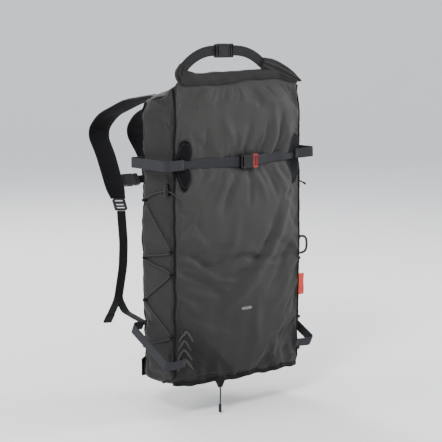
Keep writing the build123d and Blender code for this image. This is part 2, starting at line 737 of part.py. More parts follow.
sternum_ends = {
    "left": (-slider_inner, STERNUM_X - FEMALE_LENGTH - CLEAR),
    "right": (STERNUM_X + MALE_BASE + 2 * CLEAR, slider_inner),
}
for side_name, (start_x, end_x) in sternum_ends.items():
    with BuildPart() as sternum_webbing:
        with BuildSketch(
            Plane(origin=(start_x, sternum_y, sternum_z), x_dir=sternum_frame.x_dir, z_dir=(1, 0, 0))
        ):
            Rectangle(WEB_WIDTH - 2, STERNUM_THICK)
        extrude(amount=end_x - start_x)
    save(sternum_webbing, f"sternum_webbing_{side_name}")
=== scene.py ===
"""Ski backpack: the looks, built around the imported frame. Metres, +Z up, -Y the front of the bag."""
import math

import bpy
import numpy as np
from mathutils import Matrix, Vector
from mathutils.bvhtree import BVHTree


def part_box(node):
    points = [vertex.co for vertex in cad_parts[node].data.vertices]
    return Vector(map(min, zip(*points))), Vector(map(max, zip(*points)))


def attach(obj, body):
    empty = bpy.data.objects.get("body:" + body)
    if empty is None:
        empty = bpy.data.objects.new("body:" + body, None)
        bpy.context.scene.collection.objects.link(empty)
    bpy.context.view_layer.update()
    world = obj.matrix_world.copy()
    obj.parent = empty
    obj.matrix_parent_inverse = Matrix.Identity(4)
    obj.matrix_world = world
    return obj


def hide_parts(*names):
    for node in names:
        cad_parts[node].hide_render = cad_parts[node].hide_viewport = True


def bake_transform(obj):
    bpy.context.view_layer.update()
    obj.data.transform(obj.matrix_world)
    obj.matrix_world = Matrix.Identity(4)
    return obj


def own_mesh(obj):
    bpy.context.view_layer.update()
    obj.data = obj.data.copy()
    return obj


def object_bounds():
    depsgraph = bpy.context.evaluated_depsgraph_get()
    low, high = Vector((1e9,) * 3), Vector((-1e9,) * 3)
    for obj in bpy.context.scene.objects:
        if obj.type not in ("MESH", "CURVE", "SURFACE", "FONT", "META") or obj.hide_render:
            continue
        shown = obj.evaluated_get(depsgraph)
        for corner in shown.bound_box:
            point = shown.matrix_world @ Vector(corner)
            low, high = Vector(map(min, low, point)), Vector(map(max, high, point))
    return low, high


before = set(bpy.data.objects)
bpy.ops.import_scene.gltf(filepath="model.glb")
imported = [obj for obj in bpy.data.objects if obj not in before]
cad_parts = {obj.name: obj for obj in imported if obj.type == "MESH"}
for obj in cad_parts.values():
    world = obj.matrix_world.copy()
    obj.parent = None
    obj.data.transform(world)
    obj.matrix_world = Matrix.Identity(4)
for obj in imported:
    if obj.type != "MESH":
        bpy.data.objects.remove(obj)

cad_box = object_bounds()
MM = 0.001
UP = np.array([0.0, 0.0, 1.0])
RIGHT = np.array([1.0, 0.0, 0.0])
FORWARD = np.array([0.0, -1.0, 0.0])
BACKWARD = np.array([0.0, 1.0, 0.0])
SIDES = {"left": -1, "right": 1}


def extent(node):
    """A CAD node's lowest corner, highest corner and middle."""
    lo, hi = (np.array(corner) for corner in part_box(node))
    return lo, hi, 0.5 * (lo + hi)


def low(node):
    return extent(node)[0]


def high(node):
    return extent(node)[1]


def middle(node):
    return extent(node)[2]


def add_object(name, data):
    """Makes an object and puts it in the scene."""
    made = bpy.data.objects.new(name, data)
    bpy.context.scene.collection.objects.link(made)
    return made


def point_at(thing, place, aim):
    """Stands a camera or a lamp at a place and turns it to what it looks at."""
    thing.location = place
    thing.rotation_euler = (Vector(aim) - Vector(place)).to_track_quat("-Z", "Y").to_euler()


# ------------------------------------------------------------------ the camera

# The viewing angle of the photograph: 38 degrees round to the bag's left, a little above it.
EYE = np.array([-1.762, -2.2875, 0.406])
AIM = np.array([0.012, -0.055, 0.006])
LENS = 116.0


def place_camera():
    """The one camera, set to the photograph's view."""
    camera = add_object("camera", bpy.data.cameras.new("camera"))
    point_at(camera, EYE, AIM)
    camera.data.lens = LENS
    camera.data.sensor_width = 36.0
    bpy.context.scene.camera = camera


place_camera()

# ------------------------------------------------------------------ materials


class Shader:
    """A small helper that wires one material's nodes."""

    def __init__(self, name):
        self.material = bpy.data.materials.new(name)
        self.material.use_nodes = True
        self.tree = self.material.node_tree
        self.surface = self.tree.nodes["Principled BSDF"]

    def node(self, kind, **values):
        made = self.tree.nodes.new(kind)
        for key, value in values.items():
            if key in made.inputs:
                made.inputs[key].default_value = value
            else:
                setattr(made, key, value)
        return made

    def feed(self, socket, value):
        """Gives a socket a plain value, or links it to another node's output."""
        if isinstance(value, bpy.types.NodeSocket):
            self.tree.links.new(value, socket)
        else:
            socket.default_value = value

    def math(self, operation, first, second=None, clamp=False):
        made = self.node("ShaderNodeMath", operation=operation, use_clamp=clamp)
        for socket, value in zip(made.inputs, (first, second)):
            if value is not None:
                self.feed(socket, value)
        return made.outputs[0]

    def coordinates(self, source="Object"):
        return self.node("ShaderNodeTexCoord").outputs[source]

    def parts(self, vector):
        split = self.node("ShaderNodeSeparateXYZ")
        self.feed(split.inputs[0], vector)
        return split.outputs

    def noise(self, vector, scale, detail=3.0, roughness=0.55):
        made = self.node("ShaderNodeTexNoise", Scale=scale, Detail=detail, Roughness=roughness)
        self.feed(made.inputs["Vector"], vector)
        return made.outputs["Fac"]

    def ripple(self, value, period):
        """A smooth 0 to 1 wave along a coordinate in metres."""
        turned = self.math("MULTIPLY", value, 2 * math.pi / period)
        return self.math("MULTIPLY_ADD", self.math("SINE", turned), 0.5)

    def mix(self, factor, first, second):
        made = self.node("ShaderNodeMix", data_type="RGBA")
        for socket, value in ((made.inputs[6], first), (made.inputs[7], second)):
            self.feed(socket, (*value, 1.0) if isinstance(value, tuple) else value)
        self.feed(made.inputs[0], factor)
        return made.outputs[2]

    def spread(self, value, low_in, high_in, low_out, high_out):
        made = self.node("ShaderNodeMapRange")
        keys = ("Value", "From Min", "From Max", "To Min", "To Max")
        for key, number in zip(keys, (value, low_in, high_in, low_out, high_out)):
            self.feed(made.inputs[key], number)
        return made.outputs[0]

    def bump(self, height, distance, strength=1.0, under=None):
        made = self.node("ShaderNodeBump", Distance=distance, Strength=strength)
        self.feed(made.inputs["Height"], height)
        if under is not None:
            self.feed(made.inputs["Normal"], under)
        return made.outputs[0]

    def finish(self, colour, roughness, normal, gloss=0.5, sheen=0.0, metallic=0.0):
        inputs = {"Base Color": colour, "Roughness": roughness, "Normal": normal, "Metallic": metallic,
                  "Specular IOR Level": gloss, "Sheen Weight": sheen}
        for key, value in inputs.items():
            self.feed(self.surface.inputs[key], value)
        return self.material


def scaled(colour, factor):
    """A colour made darker or lighter."""
    return tuple(min(1.0, c * factor) for c in colour)


def woven_fabric(name, colour, grid=6.0 * MM, sheen=0.05, roughness=0.72, gloss=0.22, fade=None, corner=0.0):
    """Plain-weave nylon with a faint ripstop grid, blotchy wear and fine creases. fade is painted shade that
    darkens the cloth towards the bottom: two heights and the colour it turns to from one to the other. corner
    is how strongly painted shade darkens the lower left."""
    s = Shader(name)
    place = s.coordinates()
    x, y, z = s.parts(place)[:3]
    along = s.math("ADD", x, y)
    thread = 0.9 * MM
    weave = s.math("MULTIPLY", s.ripple(along, thread), s.ripple(z, thread))
    lines = s.math("MAXIMUM", s.ripple(along, grid), s.ripple(z, grid))
    ripstop = s.spread(lines, 0.955, 1.0, 0.0, 1.0)
    blotches = s.noise(place, 14.0, 4.0)
    crumple = s.noise(place, 120.0, 5.0, 0.6)
    tone = s.math("ADD", s.math("MULTIPLY", weave, 0.35), s.math("MULTIPLY", blotches, 0.75), clamp=True)
    shade = s.mix(tone, scaled(colour, 0.74), scaled(colour, 1.3))
    shade = s.mix(s.math("MULTIPLY", ripstop, 0.35), shade, scaled(colour, 1.55))
    if fade:
        # Painted shade: from the first height to the second the cloth darkens to the shade colour, as if lit from
        # above.
        start, end, shade_colour = fade
        level = s.spread(z, start, end, 0.0, 1.0)
        shade = s.mix(level, shade, s.mix(tone, scaled(shade_colour, 0.8), scaled(shade_colour, 1.25)))
        # Painted shade: the lower left corner darkens towards a near-black copy of the shade colour.
        diagonal = s.math("SUBTRACT", s.math("MULTIPLY", x, -0.9), z)
        shade = s.mix(s.spread(diagonal, 0.292, 0.322, 0.0, corner), shade, scaled(shade_colour, 0.2))
    height = s.math("ADD", weave, s.math("MULTIPLY", ripstop, 0.8))
    fine = s.bump(height, 0.10 * MM, 0.8)
    normal = s.bump(crumple, 0.9 * MM, 0.5, fine)
    rough = s.spread(blotches, 0.3, 0.7, roughness - 0.08, roughness + 0.08)
    return s.finish(shade, rough, normal, gloss, sheen)


def webbing_weave(name, colour):
    """Flat woven webbing: ribs across the strap, a twill line and tight selvedges. UV is in metres."""
    s = Shader(name)
    place = s.coordinates("UV")
    u, v = s.parts(place)[:2]
    ribs = s.ripple(v, 1.5 * MM)
    ends = s.ripple(u, 1.1 * MM)
    twill = s.ripple(s.math("ADD", u, v), 2.4 * MM)
    weave = s.math("MULTIPLY", ribs, s.math("MULTIPLY_ADD", ends, 0.5))
    mottled = s.noise(s.coordinates(), 60.0, 4.0)
    tone = s.math("ADD", s.math("MULTIPLY", weave, 0.5), s.math("MULTIPLY", mottled, 0.6), clamp=True)
    shade = s.mix(tone, scaled(colour, 0.62), scaled(colour, 1.42))
    height = s.math("ADD", weave, s.math("MULTIPLY", twill, 0.4))
    rough = s.spread(mottled, 0.3, 0.7, 0.6, 0.78)
    return s.finish(shade, rough, s.bump(height, 0.28 * MM, 0.9), gloss=0.12, sheen=0.03)


def spacer_mesh(name, colour):
    """Open air mesh: a hexagonal net of holes over dark foam."""
    s = Shader(name)
    place = s.coordinates()
    cells = s.node("ShaderNodeTexVoronoi", feature="DISTANCE_TO_EDGE", Scale=330.0, Randomness=0.25)
    s.feed(cells.inputs["Vector"], place)
    net = s.spread(cells.outputs["Distance"], 0.06, 0.22, 1.0, 0.0)
    dust = s.noise(place, 40.0, 4.0)
    shade = s.mix(net, scaled(colour, 0.3), scaled(colour, 1.75))
    shade = s.mix(s.math("MULTIPLY", dust, 0.25), shade, scaled(colour, 2.2))
    return s.finish(shade, 0.85, s.bump(net, 0.5 * MM, 0.9), gloss=0.1, sheen=0.02)


def moulded(name, colour, roughness=0.42):
    """Moulded acetal: fine spark-eroded texture, flow variation and rubbed spots."""
    s = Shader(name)
    place = s.coordinates()
    grain = s.noise(place, 1800.0, 2.0)
    rub = s.noise(place, 90.0, 5.0, 0.65)
    shade = s.mix(s.spread(rub, 0.35, 0.75, 0.0, 1.0), scaled(colour, 0.82), scaled(colour, 1.35))
    normal = s.bump(grain, 0.05 * MM, 0.5, s.bump(rub, 0.12 * MM, 0.25))
    return s.finish(shade, s.spread(rub, 0.3, 0.7, roughness - 0.09, roughness + 0.12), normal, gloss=0.3)


def metal(name, colour, roughness=0.34):
    """Drawn metal with a fine, uneven polish."""
    s = Shader(name)
    brushed = s.noise(s.coordinates(), 700.0, 3.0)
    shade = s.mix(brushed, scaled(colour, 0.86), scaled(colour, 1.06))
    rough = s.spread(brushed, 0.3, 0.7, roughness - 0.08, roughness + 0.1)
    return s.finish(shade, rough, s.bump(brushed, 0.02 * MM, 0.4), metallic=1.0)


def braided(name, colour, fleck):
    """Braided cord: two crossing spirals with a light tracer fleck. UV: share of the turn, metres along."""
    s = Shader(name)
    u, v = s.parts(s.coordinates("UV"))[:2]
    turn = s.math("MULTIPLY", u, 6 * math.pi)
    rise = s.math("MULTIPLY", v, 2 * math.pi / (3.2 * MM))
    one = s.math("SINE", s.math("ADD", turn, rise))
    two = s.math("SINE", s.math("SUBTRACT", turn, rise))
    crossing = s.math("MULTIPLY", one, two)
    plait = s.math("MULTIPLY_ADD", crossing, 0.5)
    shade = s.mix(plait, scaled(colour, 0.55), scaled(colour, 1.5))
    shade = s.mix(s.spread(crossing, 0.86, 0.98, 0.0, 0.6), shade, fleck)
    return s.finish(shade, 0.7, s.bump(plait, 0.3 * MM, 0.9))


BLACK = (0.0034, 0.0034, 0.0040)
# Painted shade on the bag cloth: darker towards the bottom, and darker still in the lower left corner.
CLOTH = woven_fabric("bag_cloth", (0.030, 0.029, 0.0275), corner=0.55,
                     fade=(0.05, -0.30, (0.0125, 0.0125, 0.0118)))
ROLL_CLOTH = woven_fabric("roll_cloth", (0.0108, 0.0104, 0.0101))
BLACK_CLOTH = woven_fabric("black_cloth", BLACK, grid=4 * MM, sheen=0.02, roughness=0.8, gloss=0.1)
SLATE_CLOTH = woven_fabric("slate_cloth", (0.052, 0.051, 0.058))
BLACK_WEB = webbing_weave("black_web", BLACK)
SLATE_WEB = webbing_weave("slate_web", (0.022, 0.022, 0.026))
ROLL_WEB = webbing_weave("roll_web", (0.015, 0.015, 0.016))
RED_WEB = webbing_weave("red_web", (0.50, 0.050, 0.036))
AIR_MESH = spacer_mesh("air_mesh", BLACK)
BLACK_PLASTIC = moulded("black_plastic", (0.0042, 0.0040, 0.0046))
RED_PLASTIC = moulded("red_plastic", (0.21, 0.030, 0.030), 0.38)
CORD = braided("cord", (0.006, 0.006, 0.007), (0.16, 0.16, 0.17))
ALUMINIUM = metal("aluminium", (0.62, 0.62, 0.63))
STEEL = metal("steel", (0.5, 0.5, 0.5), 0.28)
SHEET_PLASTIC = moulded("sheet_plastic", (0.03, 0.03, 0.03), 0.5)
FILM = moulded("film", (0.13, 0.13, 0.14), 0.3)
PLEAT_CLOTH = woven_fabric("pleat_cloth", (0.038, 0.037, 0.038))
THREAD = moulded("thread", (0.05, 0.05, 0.052), 0.75)

# ------------------------------------------------------------------ the hanging cord


def smooth_curve(name, points, resolution):
    """A curve object drawn toward its control points, with its two ends on them."""
    curve = bpy.data.curves.new(name, "CURVE")
    curve.dimensions = "3D"
    spline = curve.splines.new("NURBS")
    spline.points.add(len(points) - 1)
    for here, p in zip(spline.points, points):
        here.co = (*p, 1)
    spline.order_u = 3
    spline.use_endpoint_u = True
    spline.resolution_u = resolution
    return add_object(name, curve)


def make_hanging_cord():
    """The short drawcord that hangs from the tab under the bag, with its moulded end."""
    tab_x, tab_y = -0.060, -0.1434
    route = [(tab_x, tab_y, -0.3093), (tab_x + 0.0009, tab_y, -0.3260), (tab_x - 0.0004, tab_y, -0.3430)]
    piece = smooth_curve("drawcord", route, 24)
    piece.data.bevel_depth = 0.0015
    piece.data.bevel_resolution = 4
    piece.data.use_fill_caps = True
    piece.data.materials.append(CORD)
    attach(piece, "pack")
    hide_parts("hanging_cord")


make_hanging_cord()

# ------------------------------------------------------------------ mesh helpers


def unit(v):
    """A vector, or each of several, at length one."""
    return v / (np.linalg.norm(v, axis=-1, keepdims=True) + 1e-12)


def along(path):
    """How far along a path each of its points lies."""
    return np.concatenate([[0], np.cumsum(np.linalg.norm(np.diff(path, axis=0), axis=1))])


def tangents(path):
    """The direction of a path at each of its points."""
    return unit(np.gradient(path, axis=0))


def turns(count):
    """Angles evenly round a full turn."""
    return np.linspace(0, 2 * math.pi, count + 1)[:-1]


def join(start, end, count, back=False):
    """The quads between two rings of count points that begin at start and end. back turns them over."""
    pairs = [(j, (j + 1) % count) for j in range(count)]
    if back:
        return [(start + k, start + j, end + j, end + k) for j, k in pairs]
    return [(start + j, start + k, end + k, end + j) for j, k in pairs]


def build(name, points, faces, material, body, uv=None, replaces=()):
    """A smooth mesh object in the shared frame. It rides on a body, or on none yet where body is empty.
    uv is one pair for each corner of each face."""
    mesh = bpy.data.meshes.new(name)
    mesh.from_pydata([tuple(p) for p in points], [], [tuple(f) for f in faces])
    for m in material if isinstance(material, (list, tuple)) else [material]:
        mesh.materials.append(m)
    mesh.polygons.foreach_set("use_smooth", [True] * len(mesh.polygons))
    if uv is not None:
        layer = mesh.uv_layers.new(name="UVMap")
        layer.data.foreach_set("uv", np.asarray(uv, np.float32).ravel())
    mesh.update()
    piece = add_object(name, mesh)
    if body:
        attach(piece, body)
    if replaces:
        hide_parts(*replaces)
    return piece


def rounded(points, radius, step=2.0 * MM):
    """Straight runs joined by arcs, sampled evenly. radius is one value or one for each corner."""
    points = [np.array(p, float) for p in points]
    radii = radius if isinstance(radius, (list, tuple)) else [radius] * (len(points) - 2)
    path = [points[0]]
    for before, here, after, r in zip(points, points[1:], points[2:], radii):
        a, b = unit(before - here), unit(after - here)
        half = math.acos(np.clip(a @ b, -1, 1)) / 2
        if half > math.pi / 2 - 1e-3:
            path.append(here)
            continue
        room = 0.49 * min(np.linalg.norm(before - here), np.linalg.norm(after - here))
        cut = min(r / math.tan(half), room)
        r = cut * math.tan(half)
        centre = here + unit(a + b) * (r / math.sin(half))
        start, end = here + a * cut, here + b * cut
        count = max(3, int((math.pi - 2 * half) * r / step) + 2)
        for t in np.linspace(0, 1, count):
            chord = start + (end - start) * t
            path.append(centre + unit(chord - centre) * r)
    path.append(points[-1])
    return resample(np.array(path), step)


def bow(start, pull, end):
    """A smooth bow from start to end, drawn toward the point between them."""
    share = np.linspace(0, 1, 60)[:, None]
    start, pull, end = (np.asarray(p, float) for p in (start, pull, end))
    curve = start * (1 - share) ** 2 + 2 * pull * share * (1 - share) + end * share ** 2
    return resample(curve, 2.0 * MM)


def resample(path, step):
    """A path's points spaced evenly, about a step apart."""
    lengths = along(path)
    count = max(4, int(round(lengths[-1] / step)) + 1)
    at = np.linspace(0, lengths[-1], count)
    return np.stack([np.interp(at, lengths, path[:, k]) for k in range(3)], axis=1)


def soften(path, rounds):
    """Evens out a path's points, its ends kept."""
    path = path.copy()
    for _ in range(rounds):
        path[1:-1] = 0.25 * path[:-2] + 0.5 * path[1:-1] + 0.25 * path[2:]
    return path


def sweep(name, path, across, outline, material, body, replaces=(), face_material=None):
    """Sweeps an outline along a path. across is the width direction at each point, and outline(i, share) gives
    the section there as (across, out) pairs in metres. UV is metres across and along. face_material(j) says
    which of the materials a face at place j round the section has."""
    path = np.asarray(path, float)
    count = len(path)
    forward = tangents(path)
    across = np.broadcast_to(np.asarray(across, float), (count, 3))
    across = unit(across - forward * np.sum(across * forward, axis=1, keepdims=True))
    out = np.cross(forward, across)
    length = along(path)
    sections = [np.asarray(outline(i, length[i] / length[-1]), float) for i in range(count)]
    ring = len(sections[0])
    points = np.concatenate([p + s[:, :1] * a + s[:, 1:] * o for p, s, a, o in zip(path, sections, across, out)])
    faces, uv, kinds = [], [], []
    for i in range(count - 1):
        faces += join(i * ring, (i + 1) * ring, ring)
        edge = along(sections[i])
        for j in range(ring):
            uj, uk = edge[j], edge[j + 1] if j + 1 < ring else edge[j] + 1 * MM
            uv += [(uj, length[i]), (uk, length[i]), (uk, length[i + 1]), (uj, length[i + 1])]
            kinds.append(face_material(j) if face_material else 0)
    for start, way in ((0, -1), ((count - 1) * ring, 1)):
        order = list(range(start, start + ring))[::way]
        centre = len(points)
        points = np.concatenate([points, points[order].mean(0)[None]])
        for j in range(ring):
            faces.append((order[j], order[(j + 1) % ring], centre))
            uv += [(0, 0), (1 * MM, 0), (0, 1 * MM)]
            kinds.append(face_material(j) if face_material else 0)
    piece = build(name, points, faces, material, body, uv=uv, replaces=replaces)
    if face_material:
        piece.data.polygons.foreach_set("material_index", kinds)
    return piece


# The main straps' width and thickness.
WEB_WIDE, WEB_THICK = 20.0 * MM, 2.0 * MM


def strap_section(width, thickness, columns=9):
    """A flat strap's section: slightly domed faces and rounded selvedges."""
    xs = np.linspace(-1, 1, columns)
    top = [(x * width / 2 * 0.985, thickness / 2 * (1 - 0.18 * x**6)) for x in xs]
    bottom = [(x, -y) for x, y in top[::-1]]
    return top + [(width / 2, 0.0)] + bottom + [(-width / 2, 0.0)]


def strap(name, path, across, width, thickness, material, body, replaces=(), ripple=0.0):
    """A length of webbing. ripple lets it lie a little unevenly."""
    path = np.asarray(path, float)
    if ripple:
        s = along(path)
        out = np.cross(tangents(path), np.broadcast_to(np.asarray(across, float), path.shape))
        fade = np.clip(np.minimum(s, s[-1] - s) / (12 * MM), 0, 1)
        wave = np.sin(s / (31 * MM) + len(name)) + 0.6 * np.sin(s / (13.7 * MM) + 2.1)
        path = path + unit(out) * (ripple * fade * wave)[:, None]
    section = strap_section(width, thickness)
    return sweep(name, path, across, lambda i, share: section, material, body, replaces)


def tube(name, path, radius, material, body, replaces=(), sides=12, taper=None, fuzz=0.0):
    """A round cord or binding. taper(share) scales the radius along it, and fuzz lets it swell and thin.
    UV u is the share of the turn, v metres along."""
    path = np.asarray(path, float)
    forward = tangents(path)
    side = np.zeros_like(path)
    hint = np.cross(forward[0], UP)
    if np.linalg.norm(hint) < 0.1:
        hint = np.cross(forward[0], RIGHT)
    side[0] = unit(hint)
    for i in range(1, len(path)):
        side[i] = unit(side[i - 1] - forward[i] * (side[i - 1] @ forward[i]))
    other = np.cross(forward, side)
    length = along(path)
    points, faces, uv = [], [], []
    for i, p in enumerate(path):
        r = radius * (taper(length[i] / length[-1]) if taper else 1.0)
        r *= 1 + fuzz * math.sin(length[i] / (1.7 * MM))
        for a in (2 * math.pi * j / sides for j in range(sides)):
            points.append(p + r * (math.cos(a) * side[i] + math.sin(a) * other[i]))
    for i in range(len(path) - 1):
        faces += join(i * sides, (i + 1) * sides, sides)
        for j in range(sides):
            a, b = j / sides, (j + 1) / sides
            uv += [(a, length[i]), (b, length[i]), (b, length[i + 1]), (a, length[i + 1])]
    for start, way in ((0, -1), ((len(path) - 1) * sides, 1)):
        order = list(range(start, start + sides))[::way]
        tip = len(points)
        end = 0 if way < 0 else -1
        points.append(path[end] + way * forward[end] * radius * 0.5)
        for j in range(sides):
            faces.append((order[j], order[(j + 1) % sides], tip))
            uv += [(0, 0), (0.1, 0), (0, 1 * MM)]
    return build(name, points, faces, material, body, uv=uv, replaces=replaces)


def apply_modifiers(piece):
    """Bakes a piece's modifiers into its mesh."""
    deps = bpy.context.evaluated_depsgraph_get()
    made = bpy.data.meshes.new_from_object(piece.evaluated_get(deps))
    piece.modifiers.clear()
    old = piece.data
    piece.data = made
    bpy.data.meshes.remove(old)
    return piece


def coordinates(piece):
    """A piece's mesh points, as one array."""
    co = np.zeros(len(piece.data.vertices) * 3)
    piece.data.vertices.foreach_get("co", co)
    return co.reshape(-1, 3)


def set_coordinates(piece, co):
    """Moves a piece's mesh points."""
    piece.data.vertices.foreach_set("co", np.asarray(co, np.float32).ravel())
    piece.data.update()


def swirl(co, scale, seed=0.0):
    """Smooth seeded noise, about -1 to 1, at each point: a few crossing waves, the same each run."""
    rng = np.random.default_rng(int(seed * 10) + 7)
    total = np.zeros(len(co))
    for _ in range(7):
        way = unit(rng.normal(size=3))
        total += np.sin(co @ way * scale * rng.uniform(0.6, 1.7) + rng.uniform(0, 6.28))
    return total / 3.2


# ------------------------------------------------------------------ the bag

HALF = high("side_panel_right")[0]
FLOOR_Z = low("bottom_panel")[2]
TOP_Z = high("collar")[2]
PANEL_TOP = high("back_panel")[2]
BACK_Y = high("back_panel")[1]
FRONT_Y = -0.128
CROWN = 0.012
STRAP_Z = middle("ski_strap_left")[2]
RIDGE_Y = low("collar")[1] + 0.013
ROLL_Y = middle("roll_top")[1]
BOTTOM_ROUND = 0.014
FRONT_COUNT, SIDE_COUNT, BACK_COUNT, CORNER_COUNT = 84, 26, 40, 5
DISC_COUNT, TURN_COUNT, WALL_STEP = 11, 6, 0.0042
BOTTOM_RINGS = DISC_COUNT + 2
WALL_LEVELS = np.arange(FLOOR_Z + BOTTOM_ROUND + 0.003, PANEL_TOP, WALL_STEP)
# The ring at the panels' top, and the columns where one panel's cloth is sewn to the next.
TOP_RING = DISC_COUNT + TURN_COUNT + len(WALL_LEVELS)
LEFT_SEAM = 2
RIGHT_SEAM = CORNER_COUNT + FRONT_COUNT + 3
BACK_START = CORNER_COUNT + FRONT_COUNT + CORNER_COUNT + SIDE_COUNT + 2
BACK_END = BACK_START + BACK_COUNT + 6


def bag_ring(z):
    """One level of the bag: a rounded oblong with a crowned front, as (x, y) pairs anticlockwise."""
    rise = np.clip((z - FLOOR_Z) / (TOP_Z - FLOOR_Z), 0, 1)
    half = HALF - 0.002 + 0.0035 * math.sin(math.pi * rise) - 0.004 * max(0.0, rise - 0.9) / 0.1
    belly = 0.004 * math.sin(math.pi * min(1.0, rise * 1.15))
    front = FRONT_Y - 0.001
    crown = CROWN * (0.55 + 0.45 * math.sin(math.pi * np.clip(rise, 0, 1))) + belly
    back = BACK_Y
    if z > PANEL_TOP:
        share = np.clip((z - PANEL_TOP) / (TOP_Z - PANEL_TOP), 0, 1)
        back = BACK_Y + (RIDGE_Y - BACK_Y) * share**1.6
        crown *= 1 - 0.75 * share
    depth = back - front
    corner_front = min(0.010, 0.32 * depth)
    corner_back = min(0.018, 0.32 * depth)
    points = []

    def arc(cx, cy, r, start):
        for k in range(CORNER_COUNT):
            a = math.radians(start + 90 * k / CORNER_COUNT)
            points.append((cx + r * math.cos(a), cy + r * math.sin(a)))

    def flank(side, start, end):
        for y in np.linspace(start, end, SIDE_COUNT + 1)[:-1]:
            bulge = 0.003 * math.sin(math.pi * (y - front) / max(depth, 1e-4))
            points.append((side * (half + bulge * min(1.0, depth / 0.1)), y))

    arc(-half + corner_front, front + corner_front, corner_front, 180)
    for x in np.linspace(-half + corner_front, half - corner_front, FRONT_COUNT + 1)[:-1]:
        points.append((x, front - crown * (1 - (x / (half - corner_front)) ** 2)))
    arc(half - corner_front, front + corner_front, corner_front, 270)
    flank(1, front + corner_front, back - corner_back)
    arc(half - corner_back, back - corner_back, corner_back, 0)
    for x in np.linspace(half - corner_back, -half + corner_back, BACK_COUNT + 1)[:-1]:
        points.append((x, back))
    arc(-half + corner_back, back - corner_back, corner_back, 90)
    flank(-1, back - corner_back, front + corner_front)
    return np.array(points)


def cloth_of(ring, column):
    """Which cloth a face of the shell is cut from: 0 front and lid, 1 the black back, 2 sides and bottom."""
    if ring < BOTTOM_RINGS:
        return 2
    if BACK_START <= column < BACK_END:
        return 1 if ring < TOP_RING else 0
    return 0 if LEFT_SEAM <= column < RIGHT_SEAM else 2


def bag_mesh():
    """The whole sewn shell as one quad grid: bottom discs, walls, and the collar up to the roll."""
    rings = []
    centre = np.array([0.0, 0.5 * (FRONT_Y + BACK_Y)])
    base = bag_ring(FLOOR_Z + BOTTOM_ROUND)
    for share in np.linspace(0.06, 0.97, DISC_COUNT):
        flat = centre + (base - centre) * share * 0.86
        sag = 0.004 * (1 - share**2)
        rings.append(np.column_stack([flat, np.full(len(flat), FLOOR_Z + 0.0035 - sag + 0.004 * share**8)]))
    for turn in np.linspace(12, 84, TURN_COUNT):
        a = math.radians(turn)
        inset = BOTTOM_ROUND * 0.86 * (1 - math.sin(a))
        reach = np.linalg.norm(base - centre, axis=1, keepdims=True)
        pulled = centre + (base - centre) * (1 - inset / reach)
        level = FLOOR_Z + 0.0045 + BOTTOM_ROUND * (1 - math.cos(a)) * 0.86
        rings.append(np.column_stack([pulled, np.full(len(base), level)]))
    lid = PANEL_TOP + (TOP_Z - PANEL_TOP) * np.linspace(0.0, 1, 14)
    for z in np.concatenate([WALL_LEVELS, lid]):
        ring = bag_ring(z)
        rings.append(np.column_stack([ring, np.full(len(ring), z)]))
    neck = rings[-1]
    for share in (0.25, 0.5, 0.75, 1.0):
        ring = neck.copy()
        ring[:, 1] = ROLL_Y + (neck[:, 1] - ROLL_Y) * (1 - 0.45 * share)
        ring[:, 0] *= 1 - 0.015 * share
        slope = np.clip((neck[:, 0] + HALF) / (2 * HALF), 0, 1)
        shoulder = np.clip((neck[:, 0] - 0.100) / 0.055, 0, 1) ** 2
        ring[:, 2] += share * (0.008 + 0.010 * slope - 0.014 * shoulder)
        rings.append(ring)
    count = len(rings[0])
    points = np.concatenate(rings)
    faces, cloths = [], []
    for i in range(len(rings) - 1):
        faces += join(i * count, (i + 1) * count, count)
        cloths += [cloth_of(i, j) for j in range(count)]
    bottom, top = len(points), len(points) + 1
    last = (len(rings) - 1) * count
    points = np.concatenate([points, rings[0].mean(0)[None], rings[-1].mean(0)[None]])
    for j in range(count):
        k = (j + 1) % count
        faces += [(k, j, bottom), (last + j, last + k, top)]
        cloths += [2, 0]
    return points, faces, cloths, count


def press_strap(co):
    """Presses the ski strap's groove into the front."""
    co = co.copy()
    front = co[:, 1] < FRONT_Y + 0.006
    groove = np.exp(-(((co[:, 2] - STRAP_Z - 0.001) / 0.015) ** 2))
    co[front, 1] += 0.0055 * groove[front]
    return co


def simulate(piece, pinned, pressure, grow, frames, cap):
    """Lets the cloth settle: a little larger than its pattern, so that it creases, with soft pressure inside.
    No point ends further than cap from where it started."""
    start = coordinates(piece)
    group = piece.vertex_groups.new(name="pinned")
    weights = np.round(pinned, 1)
    for weight in np.unique(weights[weights > 0]):
        group.add(np.flatnonzero(weights == weight).tolist(), float(weight), "REPLACE")
    cloth = piece.modifiers.new("Cloth", "CLOTH")
    values = {"vertex_group_mass": "pinned", "use_pressure": True, "uniform_pressure_force": pressure,
              "shrink_min": grow, "tension_stiffness": 18, "compression_stiffness": 14, "shear_stiffness": 6,
              "bending_stiffness": 0.35, "mass": 0.25, "air_damping": 3, "quality": 5}
    for key, value in values.items():
        setattr(cloth.settings, key, value)
    cloth.settings.effector_weights.gravity = 0
    cloth.collision_settings.use_collision = False
    cloth.point_cache.frame_start = 1
    cloth.point_cache.frame_end = frames
    scene = bpy.context.scene
    for f in range(1, frames + 1):
        scene.frame_set(f)
    apply_modifiers(piece)
    scene.frame_set(1)
    moved = coordinates(piece) - start
    reach = np.linalg.norm(moved, axis=1, keepdims=True)
    set_coordinates(piece, start + moved * np.minimum(1, cap / np.maximum(reach, 1e-9)))
    piece.vertex_groups.clear()


